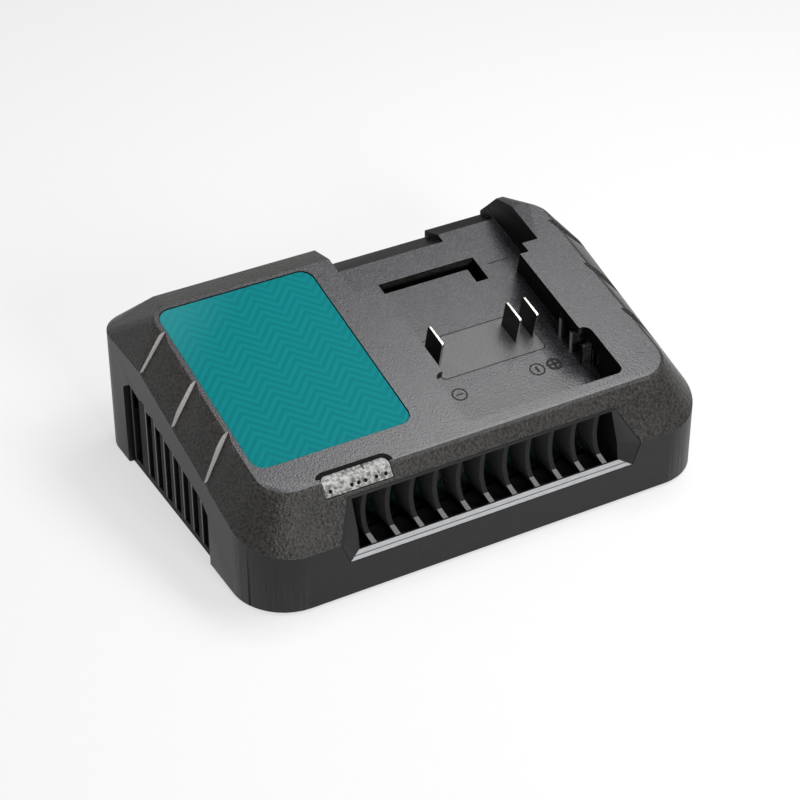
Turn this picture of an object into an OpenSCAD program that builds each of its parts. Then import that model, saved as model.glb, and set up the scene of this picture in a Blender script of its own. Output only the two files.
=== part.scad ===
// Slide-in battery charger for cordless tool packs.
// X runs right along the front, Y to the back, Z up; the origin is the middle of the footprint on the table.

/* [Housing] */
// Overall width of the housing
body_width = 180; // [176:1:190]
// Overall depth of the housing
body_depth = 127; // [125:1:134]
// Height at which the top plane would meet the front wall
top_front_height = 38; // [37:0.5:41]
// Slope of the top plane, rising to the back, in degrees
top_tilt = 13; // [12:0.5:14]
// Distance of the top plane's front edge behind the front wall
top_front_inset = 11; // [10:0.5:12]
// Distance of the top plane's side edges inside the side walls
top_side_inset = 9.6; // [8:0.1:10.5]
// Width of the small rim around the top plane's sides and front
rim_width = 1.3; // [1:0.1:1.6]
// Drop of that rim to its outer edge
rim_depth = 0.5; // [0.3:0.05:0.7]
// Distance from the rear ridge to the back wall
ridge_inset = 22.5; // [21:0.5:25]
// Wall thickness of both shells
wall = 2.4; // [2:0.1:2.6]
// Corner radius of the walls at the front
front_radius = 19.5; // [16:0.5:22]
// Corner radius of the walls at the back
rear_radius = 12; // [9:0.5:14]
// Corner radius of the top plane at the front
top_front_radius = 12; // [9:0.5:14]
// Height of the parting line on the front wall
parting_front_height = 23; // [21:0.5:24]
// Rise of the parting line along the sides, per millimetre
parting_rise = 0.29; // [0.27:0.005:0.3]
// Height of the level part of the parting line at the back
parting_back_height = 49; // [48:0.5:50]

/* [Shingled bands] */
// Distance between two steps of the side bands
shingle_pitch = 25; // [22:0.5:26]
// Height of each step
shingle_step = 0.9; // [0.6:0.1:1.1]
// Place of the middle step along the side
shingle_middle = 0.5; // [-3:0.5:3]

/* [Battery bay] */
// Middle of the bay across the housing
bay_x = 30.6; // [30:0.1:31.2]
// Opening between the two rail lips
lip_gap = 56; // [55:0.1:57]
// Width of the undercut below the lips
tongue_width = 63.4; // [62.5:0.1:64]
// Width of the rear entry that takes the pack's body
entry_width = 77; // [76:0.5:78]
// Depth of the bay below the top plane
bay_depth = 14.1; // [13:0.1:14.5]
// Thickness of the rail lips
lip_thickness = 3.2; // [3:0.1:3.6]
// Thickness of the bay floor
floor_thickness = 2.2; // [2:0.1:2.4]
// Distance of the bay behind the top plane's front edge
bay_front = 6.2; // [6:0.1:7]
// Distance from the bay's front wall to the front end of the lips
lip_start = 24.6; // [23:0.1:26]
// Length of the lips
lip_length = 41.4; // [39:0.1:43]
// Length of the plain undercut between the lips and the entry
tongue_run = 4.8; // [4:0.1:5.5]
// Radius of the bay's corners
bay_corner = 3; // [2:0.5:3.5]
// Height of the floor's rear edge on its left part
rear_edge_low = 44.2; // [43:0.1:45]
// Height of the floor's rear edge on its right part
rear_edge_high = 47.2; // [46:0.1:48]

/* [Cooling slot and ribs of the bay] */
// Width of the L-shaped air slot
slot_width = 5.2; // [4.5:0.1:5.5]
// Length of the slot's long leg
slot_length = 40; // [38:0.5:41]
// Length of the slot's short leg
slot_leg = 12.4; // [11:0.1:13]
// Distance of the slot's rear edge behind the bay's front wall
slot_rear = 83.7; // [83:0.1:84.5]
// Number of ribs between the vents of the right bay wall
bay_rib_count = 3; // [2:1:3]
// Width of each rib
bay_rib_width = 1.6; // [1.5:0.1:2]
// Distance between two ribs
bay_rib_pitch = 7.25; // [7:0.05:7.6]
// Height of the ribs above the bay floor
bay_rib_height = 8.4; // [8:0.1:9]
// Place of the middle rib from front to back
bay_rib_middle = -17.2; // [-18:0.1:-16]

/* [Contacts] */
// Width of the terminal block
block_width = 43; // [42:0.1:44]
// Length of the terminal block
block_length = 19.9; // [19:0.1:20.5]
// Distance of the terminal block behind the bay's front wall
block_start = 31.8; // [31:0.1:32.5]
// Distance of the outer blades from the middle of the bay
blade_offset = 19.6; // [19:0.1:20]
// Distance between the data blade and the positive blade
data_offset = 7.1; // [6:0.1:8]
// Thickness of a blade
blade_thickness = 0.9; // [0.8:0.05:1]
// Length of a blade along the bay
blade_length = 10.3; // [9.5:0.1:11]
// Distance of a blade's top below the top plane
blade_below_top = 2.9; // [2.5:0.1:3.5]

/* [Label and window] */
// Distance of the label recess from the top plane's left edge
label_left = 3.1; // [2.8:0.1:4]
// Width of the label recess at the back
label_rear_width = 60.2; // [59:0.1:61]
// Width of the label recess at the front
label_front_width = 59.8; // [59:0.1:61]
// Distance of the label's front left corner behind the top plane's front edge
label_front_left = 14.3; // [14:0.1:16]
// Distance of the label's front right corner behind the top plane's front edge
label_front_right = 14.3; // [14:0.1:18]
// Margin between the label recess and the rear ridge
label_rear_margin = 1.3; // [1.2:0.1:2]
// Corner radius of the label
label_radius = 5; // [4:0.5:7]
// Depth of the label recess
label_recess = 1.2; // [1:0.1:1.3]
// Thickness of the label plate
label_thickness = 0.8; // [0.6:0.1:0.9]
// Left end of the indicator window
window_left = -60; // [-61:0.5:-59]
// Width of the indicator window
window_width = 25.6; // [24:0.1:26]
// Reach of the window behind the top plane's front edge
window_reach = 4.2; // [3.5:0.1:4.8]
// Lowest edge of the window on the front band
window_bottom = 36.2; // [36:0.1:36.8]
// Thickness of the lens's rim behind the wall
lens_flange = 0.8; // [0.6:0.1:1]

/* [Front louvre] */
// Number of fins
fin_count = 11; // [9:1:11]
// Distance between two fins
fin_pitch = 9.14; // [8.6:0.01:9.2]
// Place of the middle fin across the housing, at half its height
fin_middle = -1.8; // [-2.5:0.1:0]
// Thickness of a fin
fin_thickness = 1.7; // [1.4:0.1:2]
// Radius of a fin's bow
fin_bow = 22; // [20:1:30]
// Lowest edge of the louvre
louvre_bottom = 14.6; // [14:0.1:15]
// Highest edge of the louvre
louvre_top = 35.4; // [35:0.1:35.6]
// Height of the louvre's widest place
louvre_middle = 23.5; // [23:0.1:24.5]
// Half width of the louvre at its lowest edge
louvre_half_bottom = 56; // [55:0.5:57]
// Half width of the louvre at its widest place
louvre_half_middle = 59.3; // [58.5:0.1:60]
// Half width of the louvre at its highest edge
louvre_half_top = 52.5; // [52:0.1:54]
// Half width of the cavity that holds the fins
louvre_half_inner = 51.2; // [50:0.1:51.5]
// Run of the end facets across the housing, for each millimetre of depth
louvre_end_run = 2.3; // [2:0.1:2.6]
// Depth and height of the sloping ledge in front of the fins
ledge_depth = 2.3; // [2:0.1:2.6]
// Width of the flat crest behind the ledge
crest_width = 0.7; // [0.6:0.1:1]
// Depth and height of the sloping foot of each fin
fin_foot = 2.6; // [2:0.1:3]
// Distance from the front wall to the rear edge of the louvre's box
fin_reach = 15; // [13:0.1:15.2]
// How far the lower halves of the fins reach out behind the box
fin_tail = 2.5; // [1:0.1:2.6]
// Depth of the louvre's box below its lowest edge, behind the front wall
box_drop = 2; // [1.5:0.1:2]
// Thickness of the louvre's top rail
louvre_rail = 0.9; // [0.8:0.1:1.1]

/* [Side vents] */
// Number of vent slits in each side wall
vent_count = 8; // [6:1:8]
// Distance between two slits
vent_pitch = 7.4; // [7.2:0.1:7.6]
// Width of a slit
vent_width = 3.6; // [3:0.1:4]
// Width of the rearmost slit
vent_wide = 5.4; // [4:0.1:6]
// Depth of the recessed vent panel
vent_recess = 2; // [1.5:0.1:2.2]
// Front end of the vent panel
vent_front = -26; // [-27:0.5:-25]
// Rear end of the vent panel
vent_rear = 42; // [41:0.5:44]

/* [Power inlet] */
// Middle of the inlet across the housing
inlet_x = -46; // [-48:0.5:-44]
// Height of the inlet's middle
inlet_z = 22; // [20:0.5:24]
// Width of the inlet's opening
inlet_width = 16.4; // [16:0.1:17]
// Height of the inlet's opening
inlet_height = 8.4; // [8:0.1:9]
// Depth of the inlet's opening
inlet_depth = 13; // [12:0.5:14]
// Distance between the two pins
pin_pitch = 8.6; // [8:0.1:9]
// Diameter of a pin
pin_diameter = 2.3; // [2.2:0.05:2.4]

/* [Circuit board] */
// Width of the board
board_width = 118; // [116:1:120]
// Depth of the board
board_depth = 86; // [84:1:88]
// Middle of the board across the housing
board_x = -3; // [-4:0.5:-2]
// Middle of the board from front to back
board_y = -1; // [-2:0.5:0]
// Height of the board's underside
board_height = 10.4; // [10:0.1:11]
// Thickness of the board
board_thickness = 1.6; // [1.4:0.1:1.8]

/* [Cooling fan] */
// Side of the square fan frame
fan_size = 40; // [38:1:40]
// Thickness of the fan frame
fan_thickness = 10; // [9:0.5:10.5]
// Middle of the fan from front to back
fan_y = 8; // [6:0.5:10]
// Distance of the fan behind the inside of the left wall
fan_gap = 3; // [2.5:0.5:4]
// Number of impeller blades
impeller_blades = 7; // [5:1:9]
// Gap between the blade tips and the frame
tip_gap = 0.8; // [0.6:0.1:1.2]
// Diameter of the fan shaft
fan_shaft_diameter = 2; // [1.8:0.1:2.4]
// Radial clearance of the shaft in its bearing
bearing_clearance = 0.05; // [0.03:0.01:0.08]

/* [Fasteners and feet] */
// Diameter of the housing screws' shanks
screw_diameter = 3; // [2.8:0.1:3.2]
// Diameter of the screw heads
screw_head = 5.6; // [5.2:0.1:6]
// Outer diameter of the screw posts
post_diameter = 8; // [7.6:0.1:8.6]
// Diameter of the rubber feet
foot_diameter = 12; // [10:0.5:14]
// Height that the feet stand proud of the base
foot_height = 0.6; // [0.5:0.1:1.4]
// Diameter of the keyholes' entry
keyhole_entry = 9; // [8.5:0.1:10]
// Width of the keyholes' neck
keyhole_neck = 4.4; // [4:0.1:5]
// Distance between the two keyholes
keyhole_pitch = 90; // [86:1:96]

/* [Fits] */
// Gap around a piece that drops into a recess
fit_gap = 0.2; // [0.15:0.01:0.3]

/* [Hidden] */
$fn = 48;
hull_fn = 40;
overrun = 10;
skin = 0.02;

front_y = -body_depth / 2;
back_y = body_depth / 2;
side_x = body_width / 2;
top_y0 = front_y + top_front_inset;
ridge_y = back_y - ridge_inset;
top_left = -side_x + top_side_inset;
top_right = side_x - top_side_inset;
top_length = (ridge_y - top_y0) / cos(top_tilt);
crest_y = back_y - ridge_inset / 2;
crest_height = top_z(ridge_y) - 0.2 * (crest_y - ridge_y);
crest_end = rear_radius + 6;
top_rear_radius = 8;
bottom_chamfer = 0.6;
base_floor = foot_height + wall;

lip_half = lip_gap / 2;
tongue_half = tongue_width / 2;
entry_half = entry_width / 2;
lip_end = lip_start + lip_length;
entry_start = lip_end + tongue_run;
bay_left_x = bay_x - entry_half;
bay_right_x = bay_x + entry_half;
rear_split_x = bay_x + 14;
bay_top_limit = floor_z(back_y - 10) + 1;
blade_start = 38.4;
blade_height = bay_depth - blade_below_top;
blade_tail = 7;
block_thickness = 4.6;
block_flange = 1.6;

// Height of the top plane above the table at y
function top_z(y) = top_front_height + (y - front_y) * tan(top_tilt);

// Height of the parting line at y
function parting_z(y) = min(parting_back_height, parting_front_height + (y - front_y) * parting_rise);

// Y of the front band's surface at height z
function band_y(z) = front_y + top_front_inset * (z - parting_front_height)
    / (top_z(top_y0) - parting_front_height);

// Frame that lies on the top plane, with its origin in the middle of the front edge
module on_top(depth = 0) {
    translate([0, top_y0, top_z(top_y0)]) rotate([top_tilt, 0, 0]) translate([0, 0, -depth]) children();
}

// Frame that lies on the bay floor, with its origin at the middle of the bay's front wall
module on_bay_floor(depth = 0) {
    on_top(bay_depth + depth) translate([bay_x, bay_front, 0]) children();
}

// Extrudes a profile drawn in Y and Z along X, over the stretch from x0 to x1
module along_x(x0, x1) {
    translate([x0, 0, 0]) rotate([90, 0, 90]) linear_extrude(x1 - x0) children();
}

// Extrudes a profile drawn in X and Z along Y, over the stretch from y0 to y1
module along_y(y0, y1) {
    translate([0, y1, 0]) rotate([90, 0, 0]) linear_extrude(y1 - y0) children();
}

// Rectangle with rounded corners, from corner to corner
module rounded_rect(low, high, radius) {
    translate([low[0] + radius, low[1]]) square([high[0] - low[0] - 2 * radius, high[1] - low[1]]);
    translate([low[0], low[1] + radius]) square([high[0] - low[0], high[1] - low[1] - 2 * radius]);
    for (x = [low[0] + radius, high[0] - radius], y = [low[1] + radius, high[1] - radius])
        translate([x, y]) circle(radius);
}

// Outline of the walls, drawn inset from the outside
module plan_outline(inset = 0) {
    fr = front_radius - inset;
    rr = rear_radius - inset;
    x = side_x - inset;
    y0 = front_y + inset;
    y1 = back_y - inset;
    polygon([[-x, y0 + fr], [-x, y1 - rr], [-x + rr, y1], [x - rr, y1], [x, y1 - rr],
        [x, y0 + fr], [x - fr, y0], [-x + fr, y0]]);
    for (s = [-1, 1]) {
        translate([s * (x - fr), y0 + fr]) circle(fr);
        translate([s * (x - rr), y1 - rr]) circle(rr);
    }
}

// Outline of the top plane in its own frame, drawn inset; rim narrows it further at the sides and front
module top_outline(inset = 0, rim = 0) {
    fr = top_front_radius - inset - rim;
    rr = top_rear_radius - inset - rim;
    for (x = [top_left + inset + rim + fr, top_right - inset - rim - fr])
        translate([x, inset + rim + fr]) circle(fr);
    for (x = [top_left + inset + rim + rr, top_right - inset - rim - rr])
        translate([x, top_length - inset - rr]) circle(rr);
}

// Everything below the parting line
module below_parting() {
    knee = front_y + (parting_back_height - parting_front_height) / parting_rise;
    reach = overrun * parting_rise;
    along_x(-side_x - overrun, side_x + overrun)
        polygon([[front_y - overrun, -overrun], [back_y + overrun, -overrun],
            [back_y + overrun, parting_back_height], [knee, parting_back_height],
            [front_y - overrun, parting_front_height - reach]]);
}

// The lower walls as a solid block
module wall_block(inset = 0) {
    intersection() {
        translate([0, 0, foot_height]) linear_extrude(body_depth) plan_outline(inset);
        below_parting();
    }
}

// The whole outer form: lower walls, sloping bands, top plane and rounded rear, drawn inset
module body_form(inset = 0) {
    hull($fn = hull_fn) {
        intersection($fn = hull_fn) {
            translate([0, 0, foot_height]) linear_extrude(body_depth) plan_outline(inset);
            translate([0, 0, -0.7 * inset]) below_parting();
        }
        on_top(inset + skin) linear_extrude(skin) top_outline(0.6 * inset, rim_width);
        on_top(inset + skin + rim_depth) linear_extrude(skin) top_outline(0.6 * inset);
        translate([0, crest_y - inset, crest_height - inset - skin])
            cube([body_width - 2 * (crest_end + inset), skin, skin], center = true);
    }
}

// One sawtooth wedge of a side band, seen along the band's slope
module shingle_cut(side, y) {
    fall = atan2(top_z(y) - rim_depth - parting_z(y), top_side_inset);
    translate([side * side_x, y, parting_z(y)]) rotate([0, side * (fall - 90), 0])
        rotate([-top_tilt - 2, 0, 0]) translate([0, 0, -4])
            linear_extrude(27) scale([side, 1])
                polygon([[overrun / 2, 0.6], [-shingle_step, 0], [0, -shingle_pitch + 2],
                    [overrun / 2, -shingle_pitch]]);
}

module shingle_cuts() {
    for (side = [-1, 1], k = [-1:1]) shingle_cut(side, shingle_middle + k * shingle_pitch);
}

// Plan of the bay at the level of the rail lips, in the bay's frame
module mouth_plan() {
    rounded_rect([-tongue_half, 0], [tongue_half, lip_start], bay_corner);
    translate([-lip_half, bay_corner]) square([lip_gap, entry_start]);
    translate([-tongue_half, lip_end]) square([tongue_width, tongue_run + 1]);
    entry_plan();
}

// Plan of the bay below the rail lips
module undercut_plan() {
    rounded_rect([-tongue_half, 0], [tongue_half, entry_start], bay_corner);
    translate([-tongue_half, lip_end]) square([tongue_width, tongue_run + 1]);
    entry_plan();
}

// Plan of the rear entry, open to the back
module entry_plan() {
    translate([-entry_half, entry_start]) square([entry_width, body_depth]);
}

// The empty space of the bay
module bay_void() {
    on_bay_floor() linear_extrude(bay_depth - lip_thickness + skin) undercut_plan();
    on_top(lip_thickness) translate([bay_x, bay_front, 0]) linear_extrude(3 * overrun) mouth_plan();
    rear_fall(0, -fit_gap / 2);
}

// Space above the floor's rear edge, which falls to the back in two levels; drop lowers and margin widens it
module rear_fall(drop = 0, margin = 0) {
    along_x(bay_left_x - margin, rear_split_x) polygon(fall_profile(14, rear_edge_low, drop));
    along_x(rear_split_x - skin, bay_right_x + margin) polygon(fall_profile(10, rear_edge_high, drop));
}

// Profile of the falling rear edge: it starts on the floor and ends at the given height on the back wall
function fall_profile(run, height, drop) =
    let (start = back_y - run)
    let (slope = (floor_z(start) - height) / run)
    [[start, floor_z(start) - drop], [back_y + overrun, height - slope * overrun - drop],
     [back_y + overrun, body_depth], [start - overrun, body_depth], [start - overrun, floor_z(start) - drop + 0.1]];

// Skin of the bay floor's rear edge, which lies on the lowered back wall
module rear_skin() {
    intersection() {
        body_form();
        translate([-side_x, back_y - 16, 0]) cube([body_width, 16 + overrun, bay_top_limit]);
        rear_fall(floor_thickness, 1.2);
    }
}

// Height of the bay floor's surface at y
function floor_z(y) = top_z(y) - bay_depth / cos(top_tilt);

// Walls and floor that carry the bay, before the space is cut
module bay_shell() {
    intersection() {
        union() {
            on_bay_floor(floor_thickness) linear_extrude(bay_depth + floor_thickness - 0.1)
                intersection() {
                    offset(delta = wall) undercut_plan();
                    translate([-body_width, -wall]) square([2 * body_width, 3 * body_depth]);
                }
            on_bay_floor(floor_thickness + 4) translate([-entry_half, slot_rear + wall, 0])
                linear_extrude(4 + wall) square([entry_width, body_depth]);
        }
        body_form();
        union() {
            difference() {
                translate([0, 0, base_floor]) linear_extrude(body_depth) plan_outline(wall + fit_gap);
                translate([-side_x, back_y - ridge_inset, 0]) cube([body_width, ridge_inset, rear_edge_low - 8]);
            }
            difference() {
                body_form();
                below_parting();
            }
        }
    }
}

// Outline of the louvre seen from the front, drawn inset
module louvre_outline(inset = 0) {
    offset(delta = -inset)
        polygon([[-louvre_half_bottom, louvre_bottom], [louvre_half_bottom, louvre_bottom],
            [louvre_half_middle, louvre_middle], [louvre_half_top, louvre_top],
            [-louvre_half_top, louvre_top], [-louvre_half_middle, louvre_middle]]);
}

// Outline of the label recess on the top plane, drawn inset
module label_outline(inset = 0) {
    left = top_left + label_left;
    rear = top_length - label_rear_margin;
    offset(r = label_radius) offset(delta = -label_radius - inset)
        polygon([[left, label_front_left], [left + label_front_width, label_front_right],
            [left + label_rear_width, rear], [left, rear]]);
}

// Block that holds the window's outline, drawn inset
module window_block(inset = 0) {
    low = [window_left + inset, front_y - overrun];
    high = [window_left + window_width - inset, top_y0 + window_reach - inset];
    translate([0, 0, window_bottom + inset]) linear_extrude(overrun) rounded_rect(low, high, 2.4);
}

// Places of the housing screws, with the height at which the posts of both shells meet
screw_places = [[-side_x + 15, front_y + 16, 15], [side_x - 15, front_y + 16, 15],
    [-side_x + 11, back_y - 12, 28], [side_x - 11, back_y - 12, 28]];
screw_length = 14;
head_height = 2.2;
pilot_depth = screw_length - 3;

module top_cover() color([0.33, 0.33, 0.34]) {
    bay_ribs();
    difference() {
        union() {
            difference() {
                body_form();
                body_form(wall);
                below_parting();
            }
            bay_shell();
            rear_skin();
            intersection() {
                for (p = screw_places) translate([p[0], p[1], p[2]]) cylinder(d = post_diameter, h = body_depth / 2);
                body_form(wall / 2);
            }
            label_backing();
            led_posts();
        }
        bay_void();
        shingle_cuts();
        on_top(label_recess) linear_extrude(overrun) label_outline();
        window_block();
        along_y(front_y - overrun, front_y + fin_reach + 0.8) louvre_outline();
        bay_cuts();
        for (p = screw_places) translate([p[0], p[1], p[2] - 1]) cylinder(d = screw_diameter + 0.1, h = pilot_depth + 2);
    }
}

// Extra thickness under the label recess
module label_backing() {
    on_top(wall + 1) linear_extrude(1.1) label_outline(-1.5);
}

// Slots, holes and vents that go through the bay's floor and right wall
module bay_cuts() {
    on_bay_floor(overrun) linear_extrude(overrun + 1) {
        translate([-slot_length / 2, slot_rear - slot_width]) square([slot_length, slot_width]);
        translate([slot_length / 2 - slot_width, slot_rear - slot_leg]) square([slot_width, slot_leg]);
        rounded_rect([-block_width / 2, block_start], [block_width / 2, block_start + block_length], 2);
    }
    for (k = [0:bay_rib_count]) let (y = rib_y(k - 0.5))
        translate([bay_x + tongue_half - 1, y - 1.8, floor_z(y) + 0.8]) cube([wall + 2, 3.6, bay_rib_height - 1.6]);
}

// Place of a rib, counted from the front
function rib_y(k) = bay_rib_middle + (k - (bay_rib_count - 1) / 2) * bay_rib_pitch;

// Upright ribs that stiffen the right rail near its front end
module bay_ribs() {
    for (k = [0:bay_rib_count - 1]) let (y = rib_y(k))
        translate([bay_x + lip_half + 0.2, y - bay_rib_width / 2, floor_z(y) - 1])
            cube([tongue_half - lip_half + 1, bay_rib_width, bay_rib_height + 1]);
}

// Posts under the top plane that carry the indicator board
module led_posts() {
    for (x = [window_left + 2, window_left + window_width - 4])
        on_top(led_board_depth) translate([x, led_board_start + 4.4, 0]) cube([2, 4, led_board_depth - wall / 2]);
}
led_board_depth = 8.2;
led_board_start = 5.4;

module base_cover() color([0.13, 0.13, 0.14]) {
    difference() {
        union() {
            difference() {
                intersection() {
                    union() {
                        translate([0, 0, foot_height + bottom_chamfer]) linear_extrude(body_depth) plan_outline();
                        hull($fn = hull_fn) {
                            translate([0, 0, foot_height + bottom_chamfer]) linear_extrude(skin) plan_outline();
                            translate([0, 0, foot_height]) linear_extrude(skin) plan_outline(bottom_chamfer);
                        }
                    }
                    below_parting();
                }
                translate([0, 0, base_floor]) linear_extrude(body_depth) plan_outline(wall);
            }
            vent_backing();
            for (p = screw_places) translate([p[0], p[1], foot_height]) cylinder(d = post_diameter, h = p[2] - foot_height);
            for (p = board_posts) translate([p[0], p[1], foot_height]) cylinder(d = 6, h = board_height - foot_height);
            keyhole_cups();
            fan_ribs();
            inlet_guides();
        }
        vent_cuts();
        rear_fall(floor_thickness, 1.2);
        along_y(front_y - overrun, front_y + fin_reach + 0.8) louvre_outline();
        for (p = screw_places) {
            translate([p[0], p[1], -1]) cylinder(d = screw_diameter + 0.4, h = p[2] + 2);
            translate([p[0], p[1], -1]) cylinder(d = screw_head + 0.6, h = p[2] - 3 + 1);
        }
        for (p = board_posts) translate([p[0], p[1], base_floor + 1]) cylinder(d = 2.6, h = board_height);
        for (s = [-1, 1]) translate([s * keyhole_pitch / 2, 0, -1]) {
            cylinder(d = keyhole_entry, h = wall + foot_height + 1 + skin);
            translate([-keyhole_neck / 2, 0, 0]) cube([keyhole_neck, 11, wall + foot_height + 1 + skin]);
            translate([0, 11, 0]) cylinder(d = keyhole_neck, h = wall + foot_height + 1 + skin);
        }
        for (p = foot_places) translate([p[0], p[1], -1])
            cylinder(d = foot_diameter + 2 * fit_gap, h = foot_height + 1 + foot_pocket);
        inlet_opening();
    }
}

board_posts = [for (x = [-1, 1], y = [-1, 1])
    [board_x + x * (board_width / 2 - 5), board_y + y * (board_depth / 2 - 5)]];
foot_places = [for (x = [-1, 1], y = [-1, 1]) [x * (side_x - 28), y * (back_y - 14)]];
foot_pocket = 0.8;

// Closed cups over the keyholes, which keep a wall screw's head off the electronics
module keyhole_cups() {
    for (s = [-1, 1]) translate([s * keyhole_pitch / 2, 0, foot_height]) difference() {
        translate([-keyhole_entry / 2 - 1.6, -keyhole_entry / 2 - 1.6, 0])
            cube([keyhole_entry + 3.2, keyhole_entry + 14, board_height - foot_height - 0.6]);
        translate([-keyhole_entry / 2, -keyhole_entry / 2, wall])
            cube([keyhole_entry, keyhole_entry + 10.8, board_height - foot_height - 0.6 - wall - 1]);
    }
}

// Height of a slit's upper end at y
function vent_top(y) = parting_z(y) - 11.5 - 0.08 * max(0, y - 20);

// Recess and slits of both side walls
module vent_cuts() {
    for (side = [-1, 1]) {
        intersection() {
            translate([side * side_x, (vent_front + vent_rear) / 2, 0])
                cube([2 * vent_recess, vent_rear - vent_front, 2 * body_depth], center = true);
            along_x(-body_width, body_width)
                polygon([[vent_front, -1], [vent_front, vent_top(vent_front) - 1],
                    [vent_front + 5, vent_top(vent_front + 5) + 1.6], [vent_rear - 6, vent_top(vent_rear - 6) + 1.6],
                    [vent_rear, vent_top(vent_rear) - 2], [vent_rear, -1]]);
        }
        for (k = [0:vent_count - 1]) vent_slit(side, k);
    }
}

// One slit through the wall and its backing; the rearmost is wider
module vent_slit(side, k) {
    y = vent_front + 6.8 + k * vent_pitch + (k == vent_count - 1 ? 3.6 : 0);
    w = k == vent_count - 1 ? vent_wide : vent_width;
    translate([side * side_x - 6, y - w / 2, base_floor + 0.4]) cube([12, w, vent_top(y) - base_floor - 0.4]);
}

// Thicker wall behind the recessed vent panels
module vent_backing() {
    for (side = [-1, 1])
        translate([side * (side_x - wall - vent_recess / 2 - 0.1), (vent_front + vent_rear) / 2, 0])
            translate([-vent_recess / 2 - 0.1, (vent_front - vent_rear) / 2 - 2, foot_height])
                cube([vent_recess + 0.2, vent_rear - vent_front + 4, vent_top(vent_front) + 2]);
}

fan_x = -side_x + wall + vent_recess + fan_gap;
fan_z = base_floor + fan_size / 2;

// Ribs on the base that hold the fan frame upright
module fan_ribs() {
    for (x = [fan_x - 1.8 - fit_gap, fan_x + fan_thickness + fit_gap],
        y = [fan_y - fan_size / 2 + 1, fan_y + fan_size / 2 - 7]) translate([x, y, foot_height]) cube([1.8, 6, 12]);
}

inlet_body_width = inlet_width + 5;
inlet_body_height = inlet_height + 5;
inlet_body_depth = inlet_depth + 4;
inlet_rim = 1.5;

// Opening of the back wall for the inlet
module inlet_opening() {
    translate([inlet_x - inlet_body_width / 2, back_y - wall - 1, inlet_z - inlet_body_height / 2])
        cube([inlet_body_width, wall + 2, inlet_body_height]);
}

// Two guides and a rest on the base that hold the inlet
module inlet_guides() {
    width = inlet_body_width + 2 * inlet_rim + 2 * fit_gap;
    for (s = [-1, 1]) translate([inlet_x + s * (width / 2 + 0.9) - 0.9, back_y - wall - 12, foot_height])
        cube([1.8, 12.5, inlet_z]);
    translate([inlet_x - width / 2, back_y - wall - 11, foot_height])
        cube([width, 9, inlet_z - inlet_body_height / 2 - inlet_rim - foot_height]);
}

module label_plate() color([0.08, 0.55, 0.55]) {
    on_top(label_recess) linear_extrude(label_thickness) label_outline(fit_gap);
}

module indicator_lens() color([0.85, 0.87, 0.86], 0.8) {
    intersection() {
        window_block(fit_gap);
        difference() {
            body_form(0.25);
            body_form(wall + lens_flange);
        }
    }
    intersection() {
        window_block(-1.2);
        translate([-side_x, front_y, louvre_top + fit_gap]) cube([2 * side_x, body_depth, body_depth]);
        difference() {
            body_form(wall);
            body_form(wall + lens_flange);
        }
    }
}

grille_gap = 0.15;
grille_wall = 1.4;
bezel_depth = 5.2;
ledge_z = louvre_bottom + ledge_depth;
rail_z = louvre_top - louvre_rail;
cavity_z = louvre_bottom - box_drop + 1.2;
cavity_y = front_y + ledge_depth + crest_width;
ledge_groove = 0.3;

// Level section of the louvre's mouth, which narrows from the outline to the cavity's side walls
module mouth_section(z, half, y) {
    run = (half - louvre_half_inner) / louvre_end_run;
    translate([0, 0, z]) linear_extrude(skin)
        polygon([[-half - louvre_end_run, y - 1], [half + louvre_end_run, y - 1],
            [louvre_half_inner, y + run], [-louvre_half_inner, y + run]]);
}

// Mouth of the louvre with its flat slanting ends
module louvre_mouth() {
    hull() {
        mouth_section(louvre_bottom, louvre_half_bottom, front_y);
        mouth_section(louvre_middle, louvre_half_middle, front_y);
    }
    hull() {
        mouth_section(louvre_middle, louvre_half_middle, front_y);
        mouth_section(louvre_top, louvre_half_top, band_y(louvre_top));
    }
}

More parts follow.
